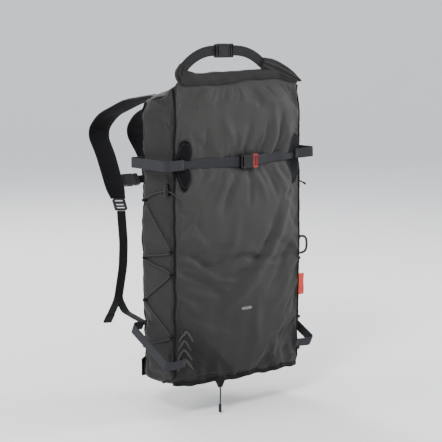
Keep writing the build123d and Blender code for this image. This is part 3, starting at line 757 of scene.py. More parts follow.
# Folds seen on the front, in millimetres: points (x, z) from the bag's middle, height, and half width.
FRONT_FOLDS = [
    ([(100, 222), (94, 180), (84, 146)], -6.2, 5.5),
    ([(78, 236), (78, 190), (70, 148)], 5.2, 9),
    ([(118, 200), (116, 170), (106, 148)], 4, 8),
    ([(58, 205), (54, 172), (46, 148)], -5, 5.5),
    ([(-92, 198), (-86, 165), (-72, 146)], -5.6, 6),
    ([(-110, 190), (-104, 160), (-94, 146)], 3.6, 7),
    ([(-50, 220), (-38, 182), (-26, 150)], 3.6, 10),
    ([(12, 205), (8, 170), (4, 150)], -4.4, 6),
    ([(-12, 122), (-34, 88), (-56, 40)], -5.4, 7),
    ([(-32, 122), (-56, 86), (-80, 42)], 4.2, 8),
    ([(-60, 122), (-80, 96), (-104, 70)], -4.2, 6),
    ([(10, 120), (14, 88), (8, 50)], -5, 6),
    ([(28, 120), (38, 90), (50, 55)], 3.8, 8),
    ([(52, 120), (66, 94), (86, 58)], -4.2, 6),
    ([(74, 120), (92, 98), (112, 68)], 3.4, 8),
    ([(118, 66), (94, -6), (64, -62), (14, -104), (-46, -150)], 6.8, 12),
    ([(98, 62), (68, -8), (38, -56), (-10, -92), (-64, -128)], -6, 9),
    ([(132, -30), (106, -80), (62, -130)], -5, 10),
    ([(140, -80), (116, -124), (76, -160)], 4, 10),
    ([(-150, -30), (-115, -46), (-76, -74)], -5.6, 6),
    ([(-150, -48), (-112, -64), (-70, -92)], 4.4, 8),
    ([(-150, -72), (-108, -90), (-60, -116)], -5.6, 7),
    ([(-150, -100), (-110, -116), (-64, -136)], 3.6, 9),
    ([(-150, 2), (-118, -10), (-88, -34)], 4.2, 8),
    ([(-148, 60), (-122, 36), (-104, 0)], -4, 7),
    ([(-120, -176), (-86, -196), (-40, -206)], 4, 11),
    ([(150, -196), (110, -220), (40, -236)], -4.4, 10),
    ([(150, -224), (100, -246), (20, -256)], 3.4, 10),
    ([(148, 100), (122, 76), (100, 30)], -4.8, 7),
    ([(-146, 250), (-110, 238), (-60, 244)], -3.4, 8),
    ([(148, 266), (100, 252), (30, 258)], 3.2, 10),
    ([(-20, 30), (-30, -20), (-52, -66)], 2.8, 12),
    ([(30, -150), (26, -190), (34, -236)], 2.6, 12),
]


def fold_heights(x, z, folds):
    """The sum of soft ridges and valleys along listed lines, fading at each line's ends."""
    total = np.zeros(len(x))
    p = np.column_stack([x, z])
    for line, height, half in folds:
        line, height, half = np.array(line) / 1000, height / 1000, half / 1000
        best = np.full(len(x), 1e9)
        share = np.zeros(len(x))
        steps = np.linalg.norm(np.diff(line, axis=0), axis=1)
        run = 0.0
        for a, b, step in zip(line, line[1:], steps):
            t = np.clip(((p - a) @ (b - a)) / step**2, 0, 1)
            d = np.linalg.norm(p - (a + t[:, None] * (b - a)), axis=1)
            near = d < best
            best[near] = d[near]
            share[near] = (run + t[near] * step) / steps.sum()
            run += step
        fading = np.sin(math.pi * np.clip(0.12 + 0.8 * share, 0, 1)) ** 0.8
        total += height * np.exp(-((best / half) ** 2)) * fading
    return total


def make_bag():
    """The sewn shell, settled by simulation and creased, and the line of the seam round its black back."""
    points, faces, cloths, count = bag_mesh()
    bag = build("bag", press_strap(points), faces, [CLOTH, BLACK_CLOTH, ROLL_CLOTH], "")
    co = coordinates(bag)
    seam = (np.abs(np.abs(co[:, 0]) - HALF) < 0.0045) & (np.abs(co[:, 1] - FRONT_Y) < 0.008)
    strap_line = (np.abs(co[:, 2] - STRAP_Z) < 0.006) & (co[:, 1] < FRONT_Y)
    back = co[:, 1] > BACK_Y - 0.004
    ends = (co[:, 2] > TOP_Z - 0.004) | (co[:, 2] < FLOOR_Z + 0.006)
    pinned = np.where(seam | back | ends, 1.0, np.where(strap_line, 0.8, 0.0))
    simulate(bag, pinned, pressure=0.9, grow=-0.035, frames=22, cap=0.0085)
    co = coordinates(bag)
    facing = np.clip((FRONT_Y + 0.004 - co[:, 1]) / 0.006, 0, 1)
    inside = np.clip((HALF - 0.004 - np.abs(co[:, 0])) / 0.012, 0, 1)
    folds = fold_heights(co[:, 0], co[:, 2], FRONT_FOLDS)
    soft = 0.0016 * swirl(co * [1.0, 1.0, 0.7], 42.0, 1.0) + 0.0007 * swirl(co, 110.0, 2.0)
    co[:, 1] -= facing * inside * (folds + soft)
    flank = np.clip((np.abs(co[:, 0]) - HALF + 0.012) / 0.008, 0, 1) * (np.abs(co[:, 1] + 0.07) < 0.05)
    side_soft = 0.0022 * swirl(co * [0.2, 1.0, 0.8], 55.0, 3.0)
    co[:, 0] += np.sign(co[:, 0]) * flank * side_soft
    lid = np.clip((co[:, 2] - PANEL_TOP - 0.004) / 0.01, 0, 1)
    lid *= (co[:, 1] > FRONT_Y + 0.012) & (co[:, 2] < TOP_Z - 0.004)
    co[:, 2] += lid * 0.0022 * swirl(co * [1.6, 0.4, 1.0], 60.0, 4.0)
    taut = HALF + 0.0022 + 0.0010 * np.sin(co[:, 2] * 70)
    reach = np.abs(co[:, 0])
    co[:, 0] = np.sign(co[:, 0]) * np.where(reach > taut, taut + 0.15 * (reach - taut), reach)
    under = np.clip((FLOOR_Z + 0.03 - co[:, 2]) / 0.02, 0, 1)
    co[:, 2] += under * 0.0025 * swirl(co, 38.0, 5.0)
    set_coordinates(bag, co)
    bag.data.polygons.foreach_set("material_index", cloths)
    climb = range(DISC_COUNT + TURN_COUNT - 1, TOP_RING)
    up = [i * count + BACK_START for i in climb]
    across = [TOP_RING * count + j for j in range(BACK_START, BACK_END + 1)]
    down = [i * count + BACK_END for i in climb[::-1]]
    back_seam = co[up + across + down]
    fine = bag.modifiers.new("fine", "SUBSURF")
    fine.levels = fine.render_levels = 1
    apply_modifiers(bag)
    return bag, back_seam


bag, back_seam = make_bag()
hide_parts("front_panel", "side_panel_left", "side_panel_right", "back_panel", "bottom_panel", "collar")
surface = BVHTree.FromPolygons([v.co for v in bag.data.vertices], [p.vertices for p in bag.data.polygons])
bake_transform(bag)


def front_at(x, z):
    """How far forward the bag's front reaches at x, z."""
    hit = surface.ray_cast(Vector((x, -0.4, z)), Vector((0, 1, 0)))[0]
    return hit.y if hit else FRONT_Y


def side_at(side, y, z):
    """How far out the bag's side reaches at y, z."""
    hit = surface.ray_cast(Vector((side * 0.4, y, z)), Vector((-side, 0, 0)))[0]
    return hit.x if hit else side * HALF


# ------------------------------------------------------------------ trims sewn to the bag


def on_front(points, lift):
    """Turns given (x, z) points into a path lying on the bag's front."""
    return np.array([(x, front_at(x, z) - lift, z) for x, z in points])


def edge_line(side, z, lift=0.0):
    """A point on the seam where the front meets a side."""
    x = side * (HALF - 0.0055)
    y = front_at(x, z) + 0.0030
    return np.array([side_at(side, y + 0.0030, z) + side * (0.0004 + lift), y, z])


def make_bindings():
    """Folded tape over the two front side seams, and along the bottom seam."""
    def outline(i, share):
        wide, thick = 0.0026 * (1 + 0.10 * math.sin(i * 0.9)), 0.0026
        return [(wide * math.cos(a), thick * math.sin(a)) for a in turns(10)]

    for name, side in SIDES.items():
        line = np.array([edge_line(side, z) for z in np.arange(FLOOR_Z + 0.006, TOP_Z - 0.003, 0.006)])
        tape = sweep(f"edge_binding_{name}", resample(soften(line, 5), 2.2 * MM), RIGHT * side, outline,
                     BLACK_WEB, "", replaces=["edge_bindings"])
        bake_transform(tape)
    route = []
    for x in np.linspace(-HALF + 0.0105, HALF - 0.0105, 60):
        z = low("bottom_binding")[2] + 0.0062 + 0.0014 * math.sin(x * 71) + 0.0008 * math.sin(x * 173 + 1)
        route.append((x, front_at(x, z + 0.006) - 0.0006, z))
    near, far = HALF - 0.0035, HALF - 0.0008
    left, right = ([(side * near, FRONT_Y + 0.0016, z), (side * far, FRONT_Y + 0.0105, z)]
                   for side, z in ((-1, route[0][2]), (1, route[-1][2])))
    path = resample(soften(rounded(left[::-1] + route + right, 0.006, 2 * MM), 3), 2.5 * MM)
    sweep("bottom_binding_tape", path, UP, lambda i, share: strap_section(0.008, 0.0022, 7), BLACK_WEB, "pack",
          replaces=["bottom_binding"])


def stitch_row(name, path, out, body, gap=3.4 * MM, length=2.2 * MM):
    """A row of sewn stitches: short raised threads along a path, each dipping into the cloth at its ends."""
    path = resample(np.asarray(path, float), gap)
    out = np.broadcast_to(np.asarray(out, float), path.shape)
    thick = 0.32 * MM
    points, faces = [], []
    for p, t, n in zip(path, tangents(path), out):
        n = unit(n - t * (n @ t))
        b = np.cross(t, n)
        base = len(points)
        for share, lift in ((-0.5, -0.3), (-0.25, 0.7), (0.25, 0.7), (0.5, -0.3)):
            for a in (0, 90, 180, 270):
                turn = math.radians(a)
                raised = n * (thick * (lift + math.cos(turn)))
                points.append(p + t * share * length + raised + b * thick * math.sin(turn))
        for ring in range(base, base + 12, 4):
            faces += join(ring, ring + 4, 4)
        faces += [tuple(range(base + 3, base - 1, -1)), tuple(range(base + 12, base + 16))]
    return build(name, points, faces, THREAD, body)


def make_back_piping():
    """Piping up, across and down the seam between the black back and the bag's cloth."""
    tube("back_piping", soften(resample(back_seam, 2.5 * MM), 4), 1.7 * MM, BLACK_WEB, "pack")


def make_front_seams():
    """The sewn hem just above the bottom, and the strengthening seams beside the side edges."""
    xs = np.arange(-HALF + 0.012, HALF - 0.011, 0.004)
    hem = [(x, FLOOR_Z + 0.024 + 0.0012 * math.sin(x * 60)) for x in xs]
    stitch_row("hem_stitches", on_front(hem, 0.0002), FORWARD, "pack")
    for name, side in SIDES.items():
        line = [(side * (HALF - 0.0125), z) for z in np.arange(FLOOR_Z + 0.03, PANEL_TOP - 0.01, 0.006)]
        stitch_row(f"edge_stitches_{name}", on_front(line, 0.0002), FORWARD, "pack")


def shell_patch(name, outline_at, rings, count, lift, thick, material, replaces):
    """A sewn patch that follows the bag's front: rings of (x, z) points shrinking to the middle, with a rim."""
    points, faces = [], []
    for r in range(rings + 1):
        share = 1 - r / rings
        for j in range(count):
            x, z = outline_at(2 * math.pi * j / count, share)
            rim = thick * min(1.0, (1 - share) * rings / 1.2)
            points.append((x, front_at(x, z) - lift - rim, z))
    for r in range(rings):
        faces += join(r * count, (r + 1) * count, count, back=True)
    faces += join(len(points), 0, count, back=True)
    points += [(p[0], p[1] + lift + thick * 0.8, p[2]) for p in points[:count]]
    return build(name, points, faces, material, "pack", replaces=replaces)


def make_strap_shade_patches():
    """Black patches where the ski strap leaves the front edges: painted shade, standing in for the shadow where
    the edges fold in above and below the strap.
    """
    for name, side in SIDES.items():
        def outline(a, share):
            wide = 0.0155 * share * (1 + 0.10 * math.sin(2 * a + 0.6))
            tall = 0.048 * share * (1 + 0.05 * math.sin(3 * a))
            return side * (HALF - 0.0165) + wide * math.cos(a) - side * 0.002, STRAP_Z + tall * math.sin(a)

        # Painted shade: a matt black patch where the folded-in edge lies in shadow.
        shell_patch(f"strap_patch_{name}", outline, 7, 56, 0.0009, 0.0009, BLACK_CLOTH,
                    replaces=["strap_patches"])
        ring = [outline(a, 0.88) for a in np.linspace(0, 2 * math.pi, 80)]
        stitch_row(f"patch_stitches_{name}", on_front(ring, 0.0018), FORWARD, "pack")
        rim = [outline(a, 1.04) for a in np.linspace(0, 2 * math.pi, 90)]
        path = soften(resample(on_front(rim, 0.0010), 2 * MM), 2)
        tube(f"patch_piping_{name}", path, 1.2 * MM, SLATE_WEB, "pack", sides=8)


def signed_power(value, power):
    """A power that keeps the sign, which squares off a circle's sine and cosine."""
    return math.copysign(abs(value) ** power, value)


def make_reflective_bar():
    """A plain reflective bar with round corners, low on the front."""
    lo, hi, centre = extent("reflective_bar")
    half = 0.5 * (hi - lo)

    def outline(a, share):
        x = half[0] * share * signed_power(math.cos(a), 0.35)
        return centre[0] + x, centre[2] + half[2] * share * signed_power(math.sin(a), 0.5)

    shell_patch("reflective_patch", outline, 4, 40, 0.0004, 0.0006, FILM,
                replaces=["reflective_bar"])


def make_corner_pleats():
    """Nested pleats sewn into the lower left corner, one above the other, each an inverted V of piped cloth."""
    def outline(i, share):
        raised = 0.6 + 0.4 * math.sin(math.pi * share)
        return [(0.0017 * math.cos(a), 0.0026 * math.sin(a) * raised) for a in turns(10)]

    x, drop = -HALF + 0.021, 0.021
    for k, apex in enumerate((-0.187, -0.206, -0.225, -0.244)):
        half = 0.0125 + 0.0012 * k
        v = [(x - half, 0, apex - drop), (x - 0.3 * half, 0, apex - 0.006), (x, 0, apex),
             (x + 0.35 * half, 0, apex - 0.006), (x + half + 0.002, 0, apex - drop - 0.002)]
        line = on_front(rounded(v, 0.006, 1.5 * MM)[:, [0, 2]], 0.0008)
        sweep(f"corner_pleat_{k + 1}", soften(line, 2), FORWARD, outline, PLEAT_CLOTH, "pack")


make_corner_pleats()
make_bindings()
make_back_piping()
make_front_seams()
make_strap_shade_patches()
make_reflective_bar()

# ------------------------------------------------------------------ the rolled top


def make_roll():
    """The rolled mouth: a flattened spiral tube with its layers showing, thinner and higher to the right."""
    left, right = low("roll_end_left")[0] + 0.012, high("roll_end_right")[0] - 0.034
    path = []
    for x in np.linspace(left, right, 130):
        share = (x - left) / (right - left)
        z = 0.2955 + 0.0085 * share + 0.0010 * math.sin(x * 31) + 0.0005 * math.sin(x * 83)
        path.append((x, ROLL_Y, z))

    def outline(i, share):
        tall = 0.0130 - 0.0045 * share - 0.0006 * math.sin(share * 13)
        deep = 0.0080 - 0.001 * share
        close = min(share, 1 - share)
        tall *= 1 - 0.35 * math.exp(-close / 0.02)
        section = []
        for a in turns(36):
            lip = 0.0012 * math.exp(-(((a - 4.2) / 0.22) ** 2)) + 0.0009 * math.exp(-(((a - 1.2) / 0.2) ** 2))
            wrinkle = 0.00030 * math.sin(4 * a + share * 31) + 0.00025 * math.sin(2 * a - share * 43)
            grow = 1 + (lip + wrinkle) / 0.01
            across, up = signed_power(math.cos(a), 0.8), signed_power(math.sin(a), 0.85)
            section.append((deep * grow * across, tall * grow * up))
        return section

    roll = sweep("roll", path, BACKWARD, outline, ROLL_CLOTH, "roll",
                 replaces=["roll_top", "roll_stiffener"])
    co = coordinates(roll)
    co[:, 2] += 0.0005 * swirl(co * [0.5, 1, 1], 90.0, 8.0)
    co[:, 1] += 0.0007 * swirl(co * [0.5, 1, 1], 110.0, 9.0)
    set_coordinates(roll, co)


def leaf(side, spine, half_widths, thick, seed):
    """A soft folded end of the roll: a pleated band along a spine in the XZ plane, of changing width."""
    spine = resample(rounded(spine, 0.02), 2.0 * MM)
    stations = np.linspace(0, 1, len(half_widths))

    def outline(i, share):
        half = np.interp(share, stations, half_widths)
        section = []
        for way, shift, wave in ((1, 0.0, 0.0006), (-1, 1.1, 0.0)):
            for v in np.linspace(-way, way, 25):
                pleat = 0.0016 * math.sin(3 * math.pi * v + seed + shift) * (1 - abs(v)) ** 0.5
                raised = way * thick * (1 - 0.55 * v * v) + pleat + wave * math.sin(9 * share + 5 * v)
                section.append((v * half, raised))
        return section

    piece = sweep(f"roll_tail_{side}", spine, np.cross(BACKWARD, tangents(spine)), outline, ROLL_CLOTH, "roll",
                  replaces=[f"roll_end_{side}"])


def make_roll_ends():
    """The roll's two ends: the left turns up and is caught by its strap, the right fans down to the corner."""
    y, ahead = ROLL_Y, ROLL_Y - 0.0045
    leaf("left", [(-0.112, y, 0.298), (-0.138, y, 0.300), (-0.146, y, 0.309), (-0.137, y, 0.3235)],
         [0.0115, 0.0135, 0.0150, 0.0125, 0.0085, 0.0075], 0.0052, 0.4)
    leaf("right", [(0.1535, ahead, 0.2875), (0.122, ahead, 0.301), (0.090, y, 0.3145), (0.058, y, 0.325)],
         [0.0022, 0.0090, 0.0130, 0.0150, 0.0150, 0.0110], 0.0056, 1.7)


def make_roll_straps():
    """The two strap ends that rise from the roll to its buckle."""
    y, z = ROLL_Y, 0.350
    left = bow((-0.1345, y, 0.3195), (-0.1030, y, z + 0.0005), (-0.0606, y, z))
    right = bow((-0.0161, y, z), (0.0260, y, z + 0.0005), (0.0575, y, 0.3243))
    for name, path, body in (("left", left, "roll"), ("right", right, "")):
        across = np.cross(BACKWARD, tangents(path))
        piece = strap(f"roll_strap_{name}", path, across, WEB_WIDE, 0.0022, ROLL_WEB, body,
                      replaces=[f"roll_webbing_{name}"], ripple=0.0004)
    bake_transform(piece)


make_roll()
make_roll_ends()
make_roll_straps()

# ------------------------------------------------------------------ ski straps and their loops

SEAM_X = 0.140
SKI_X = high("ski_loop_right")[0] - 0.001
SKI_FRONT, SKI_REAR = -0.141, -0.022
BUCKLE_Y = -0.1436
STRAP_TILT = math.tan(math.radians(3))
LOWER_LEAN = math.radians(26.6)
MOUTH_X = high("ski_buckle_female")[0]


def strap_level(x, side):
    """Height of a ski strap's middle: level on the left, rising to the right of the buckle."""
    return STRAP_Z + max(0.0, x - MOUTH_X) * STRAP_TILT * (side > 0)


def front_strap_path(start_x, side):
    """From the buckle across the front to the edge patch, pressed into the bag."""
    path = []
    for x in np.linspace(start_x, side * SEAM_X, 60):
        z = strap_level(x, side)
        lying = front_at(x, z) - 0.0022
        share = np.clip(abs(x - start_x) / 0.040, 0, 1)
        share = share * share * (3 - 2 * share)
        path.append((x, BUCKLE_Y + (lying - BUCKLE_Y) * share, z))
    return resample(soften(np.array(path), 6), 2.5 * MM)


def make_ski_straps():
    """The strap across the front, in two lengths that meet at the buckle."""
    left = front_strap_path(MOUTH_X - 0.0306, -1)
    strap("ski_strap_left_web", left, UP, WEB_WIDE, WEB_THICK, SLATE_WEB, "pack",
          replaces=["ski_strap_left"], ripple=0.0003)
    start = MOUTH_X + 0.0142
    piece = strap("ski_strap_right_web", front_strap_path(start, 1), UP, WEB_WIDE, WEB_THICK, SLATE_WEB, "",
                  replaces=["ski_strap_right"])
    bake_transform(piece)


def bar_tack(name, centre, across, forward, width, body):
    """A dense zigzag block of stitches across a strap's end."""
    across, forward = unit(across), unit(forward)
    points = [centre + across * width * (0.5 if i % 2 else -0.5) + forward * (i - 5) * 0.9 * MM
              for i in range(11)]
    tube(name, resample(np.array(points), 1.2 * MM), 0.35 * MM, THREAD, body, sides=5)


def make_ski_loops():
    """Four loops that stand out from the sides, as if round a ski: two level and two that slope."""
    for name, side in SIDES.items():
        for level in ("", "lower_"):
            plan = [(side * 0.141, -0.138 if level else -0.13375), (side * SKI_X, SKI_FRONT),
                    (side * SKI_X, SKI_REAR), (side * (HALF + 0.001), SKI_REAR)]
            if level:
                route = [(x, y, -0.230 + (y + 0.100) * math.tan(LOWER_LEAN)) for x, y in plan]
                across = unit(np.array([0, -math.sin(LOWER_LEAN), math.cos(LOWER_LEAN)]))
            else:
                route = [(x, y, strap_level(x, side)) for x, y in plan]
                across = unit(np.array([-STRAP_TILT, 0, 1])) if side > 0 else UP
            loop = f"{level}ski_loop_{name}"
            strap(f"{loop}_web", rounded(route, 0.0085), across, WEB_WIDE, WEB_THICK, SLATE_WEB, "pack",
                  replaces=[loop], ripple=0.0003)
            for where, end, out in (("front", route[0], -0.0016), ("rear", route[-1], 0.0012)):
                centre = np.array(end) + np.array([side * 0.006, out, 0])
                bar_tack(f"{loop}_tack_{where}", centre, across, RIGHT * side, 0.016, "pack")


make_ski_straps()
make_ski_loops()

# ------------------------------------------------------------------ side lacing

LACE_X = 0.1635
FRONT_LACES = [-0.032, -0.076, -0.199, -0.263]
REAR_LACES = [0.060, -0.054, -0.138, -0.231]
LOCK_Z = 0.084


def cord_tube(name, points, radius, replaces, fuzz):
    """A held cord's tube along the smooth curve of its control points."""
    guide = smooth_curve(name + "_line", points, 14)
    curve = guide.data
    line = bpy.data.meshes.new_from_object(guide.evaluated_get(bpy.context.evaluated_depsgraph_get()))
    co = np.array([v.co for v in line.vertices])
    bpy.data.objects.remove(guide)
    bpy.data.curves.remove(curve)
    bpy.data.meshes.remove(line)
    tube(name, resample(co, 1.6 * MM), radius, CORD, "pack", replaces, sides=10, fuzz=fuzz)


def make_lacing():
    """The compression cord zigzags down each side through sewn loops, from the lock to a knot at the bottom."""
    turn = 0.0045
    for name, side in SIDES.items():
        x = side * LACE_X
        points = [(x, -0.141, 0.078), (x, -0.128, LOCK_Z), (x, -0.092, LOCK_Z)]
        for rear, front in zip(REAR_LACES, FRONT_LACES):
            points += [(x, -0.035, rear + turn), (x, -0.035, rear - turn)]
            points += [(x, -0.120, front + turn), (x, -0.120, front - turn)]
        points[-1] = (x, -0.120, FRONT_LACES[-1] - 0.0025)
        cord_tube(f"lacing_{name}", points, 1.5 * MM, ["lacing_cords"], fuzz=0.05)
        tip = np.linspace((x, -0.1405, 0.0782), (x, -0.1330, 0.0815), 9)
        tube(f"lacing_tip_{name}", tip, 2.0 * MM, BLACK_PLASTIC, "pack", sides=10,
             taper=lambda share: 0.8 + 0.35 * math.sin(math.pi * share))
        knot_centre = np.array([x, -0.120, FRONT_LACES[-1] - 0.0030])
        knot = []
        for t in np.linspace(0, 2 * math.pi, 60):
            knot.append(knot_centre + np.array([
                0.0020 * math.sin(2 * t), 0.0024 * (math.sin(t) + 0.6 * math.sin(3 * t)) * 0.7,
                0.0022 * (math.cos(t) - 0.7 * math.cos(2 * t)) * 0.7,
            ]))
        knot = resample(np.array(knot), 0.8 * MM)
        tube(f"lacing_knot_{name}", knot, 1.15 * MM, CORD, "pack", sides=9)
        for k, (y, z) in enumerate([(-0.1209, z) for z in FRONT_LACES] + [(-0.0341, z) for z in REAR_LACES]):
            make_lace_loop(f"lace_loop_{name}_{k}", side, y, z)


def make_lock_springs():
    """The coil under each lock's plunger."""
    wire, rounds, travel = 0.2 * MM, 2, 3.0 * MM
    for name in SIDES:
        node = f"cord_lock_spring_{name}"
        bottom, top, centre = extent(node)
        radius = (top[0] - bottom[0]) / 2 - wire
        turn = np.linspace(0, 2 * math.pi * rounds, 40 * rounds + 1)
        rise = np.linspace(bottom[2] + wire, top[2] - wire, len(turn))
        coil = np.stack([centre[0] + radius * np.cos(turn), centre[1] + radius * np.sin(turn), rise], axis=1)
        spring = tube(f"lock_spring_{name}", coil, wire, STEEL, "pack", replaces=[node],
                      sides=8)
        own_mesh(spring)


def make_lace_loop(name, side, y, z):
    """A small webbing loop sewn into the seam: out of the bag, round the cord and back."""
    root, tip, half = side * (HALF + 0.0005), side * (LACE_X + 0.0032), 0.0042
    route = [(root, y - half, z), (tip, y - half * 0.9, z), (tip, y + half * 0.9, z), (root, y + half, z)]
    strap(name, rounded(route, 0.0030, 0.8 * MM), UP, 0.0052, 0.0009, BLACK_WEB, "pack",
          replaces=["lace_loops"])


make_lacing()
make_lock_springs()

# ------------------------------------------------------------------ small fittings at the edges


def make_gear_loop():
    """A loop of thicker cord at the right edge."""
    centre = np.array([HALF + 0.0045, -0.1295, -0.047])
    route = [centre + np.array([x, 0, z]) for x, z in
             [(-0.0050, 0.0175), (0.0060, 0.0175), (0.0145, 0.0125), (0.0160, 0.0), (0.0145, -0.0125),
              (0.0060, -0.0175), (-0.0050, -0.0175)]]
    cord_tube("gear_loop_cord", route, 2.5 * MM, ["gear_loop"], fuzz=0.04)


def make_seam_tag():
    """A folded ribbon tag in the right seam, its fold outward."""
    lo, hi, centre = extent("seam_tag")
    path = []
    for t in np.linspace(0, 1, 30):
        a = math.pi * t
        x = HALF - 0.001 + (hi[0] - HALF + 0.001) * math.sin(a) ** 0.55
        path.append((x, centre[1] + 0.0010 * math.cos(a) + 0.0004 * math.sin(3 * a), centre[2]))
    path = resample(np.array(path), 0.9 * MM)
    section = strap_section(hi[2] - lo[2], 0.0006, 15)
    tag = sweep("seam_tag_ribbon", path, UP, lambda i, share: section, RED_WEB, "pack",
                replaces=["seam_tag"])
    co = coordinates(tag)
    co[:, 1] += 0.0006 * np.sin(co[:, 2] * 190)
    set_coordinates(tag, co)


def make_cord_tab():
    """The trapezium tab under the bottom seam that holds the hanging cord, folded, with a row of stitches down
    each side.
    """
    lo, hi, (x, y, _) = extent("cord_tab")
    top = (x, front_at(x, hi[2] + 0.006) - 0.0012, hi[2] + 0.005)
    path = rounded([top, (x, y, hi[2] - 0.003), (x, y, lo[2])], 0.01, 0.7 * MM)

    def outline(i, share):
        half = np.interp(share, [0, 0.25, 1], [0.0125, 0.013, 0.0046])
        return strap_section(2 * half, 0.0018 + 0.0003 * math.sin(share * 9), 9)

    sweep("cord_tab_web", path, RIGHT, outline, BLACK_WEB, "pack", replaces=["cord_tab"])
    for name, side in SIDES.items():
        line = [(x + side * (0.0105 - 0.007 * t), y - 0.0014, hi[2] - 0.002 - 0.0115 * t)
                for t in np.linspace(0, 1, 6)]
        stitch_row(f"tab_stitches_{name}", line, FORWARD, "pack", gap=2.4 * MM, length=1.5 * MM)


make_gear_loop()
make_seam_tag()
make_cord_tab()

# ------------------------------------------------------------------ back of the bag


def panel(name, points, columns, floor_y, material, replaces):
    """A padded panel: rows of points with a skirt down to floor_y and a flat back. Returns it and its rim."""
    rows = len(points) // columns
    faces = [(a, a + columns, a + columns + 1, a + 1)
             for r in range(rows - 1) for a in range(r * columns, (r + 1) * columns - 1)]
    ring = list(range(columns)) + [r * columns + columns - 1 for r in range(1, rows)]
    ring += [(rows - 1) * columns + c for c in range(columns - 2, -1, -1)]
    ring += [r * columns for r in range(rows - 2, 0, -1)]
    rim = [points[i] for i in ring]
    base, count = len(points), len(ring)
    for j in range(count):
        k = (j + 1) % count
        faces.append((ring[k], base + k, base + j, ring[j]))
    faces.append(tuple(range(base, base + count)))
    points = points + [(x, floor_y, z) for x, _, z in rim]
    return build(name, points, faces, material, "pack", replaces=replaces), rim


def make_back_pad():
    """A moulded foam back panel in air mesh: crowned, with a middle channel and cross channels, its edge bound."""
    lo, hi, _ = extent("back_pad")
    half_x, half_z, thick = hi[0], hi[2], hi[1] - lo[1]
    columns, rows, corner = 60, 92, 0.030

    def oblong(u, v):
        """A place in a rounded oblong: u and v from -1 to 1."""
        x, z = u * half_x, v * half_z
        over_x, over_z = abs(x) - (half_x - corner), abs(z) - (half_z - corner)
        if over_x > 0 and over_z > 0:
            pull = corner / math.hypot(over_x, over_z)
            x = math.copysign(half_x - corner + over_x * pull, x)
            z = math.copysign(half_z - corner + over_z * pull, z)
        return x, z

    points = []
    for v in np.linspace(-1, 1, rows):
        for u in np.linspace(-1, 1, columns):
            x, z = oblong(u, v)
            rim = min(half_x - abs(x), half_z - abs(z))
            crown = 1 - math.exp(-max(rim, 0) / 0.009)
            trench = 0.0042 * math.exp(-((x / 0.012) ** 2))
            ribs = 0.0030 * sum(math.exp(-(((z - z0) / 0.0055) ** 2)) for z0 in (-0.125, -0.045, 0.045, 0.125))
            points.append((x, lo[1] + 0.003 + (thick - 0.0035) * crown - (trench + ribs) * crown, z))
    pad, rim = panel("back_pad_foam", points, columns, lo[1] + 0.0004, AIR_MESH, ["back_pad"])
    co = coordinates(pad)
    co[:, 1] += np.where(co[:, 1] > lo[1] + 0.002, 0.0006 * swirl(co, 60.0, 11.0), 0)
    set_coordinates(pad, co)
    edge = np.array([(x, lo[1] + 0.0022, z) for x, _, z in rim + rim[:1]])
    tube("back_pad_piping", resample(edge, 3 * MM), 1.9 * MM, BLACK_WEB, "pack", sides=8)


def make_yoke():
    """The panel that the shoulder straps are sewn to, with a quilted face and stitched edge."""
    lo, hi, centre = extent("yoke_panel")
    columns, rows, half_z = 54, 16, 0.5 * (hi[2] - lo[2])
    points = []
    for v in np.linspace(-1, 1, rows):
        for u in np.linspace(-1, 1, columns):
            x, z = u * (hi[0] - 0.0006), centre[2] + v * (half_z - 0.0005)
            rim = min(hi[0] - abs(x), half_z - abs(z - centre[2]))
            crown = 1 - math.exp(-max(rim, 0) / 0.003)
            quilt = 0.0005 * math.sin(x * 180) * math.sin(z * 180)
            points.append((x, lo[1] + 0.0010 + (hi[1] - lo[1] - 0.0012) * crown + quilt * crown, z))
    yoke, _ = panel("yoke_quilt", points, columns, lo[1] + 0.0003, BLACK_CLOTH, ["yoke_panel"])
    y, z0, z1, x1 = hi[1], lo[2] + 0.0035, hi[2] - 0.0035, hi[0] - 0.004
    border = [(-x1, y, z0), (x1, y, z0), (x1, y, z1), (-x1, y, z1), (-x1, y, z0)]
    line = np.concatenate([np.linspace(a, b, 30) for a, b in zip(border, border[1:])])
    stitch_row("yoke_stitches", line, BACKWARD, "pack", gap=3.2 * MM)


def make_haul_loop():
    """The grab loop of webbing above the yoke."""
    y = middle("haul_loop")[1]
    route = [(-0.0130, y, 0.249), (-0.0130, y, 0.283), (0.0130, y, 0.283), (0.0130, y, 0.249)]
    strap("haul_loop_web", rounded(route, 0.009, 1.5 * MM), BACKWARD, 0.012, 0.0024, BLACK_WEB, "pack",
          replaces=["haul_loop"])


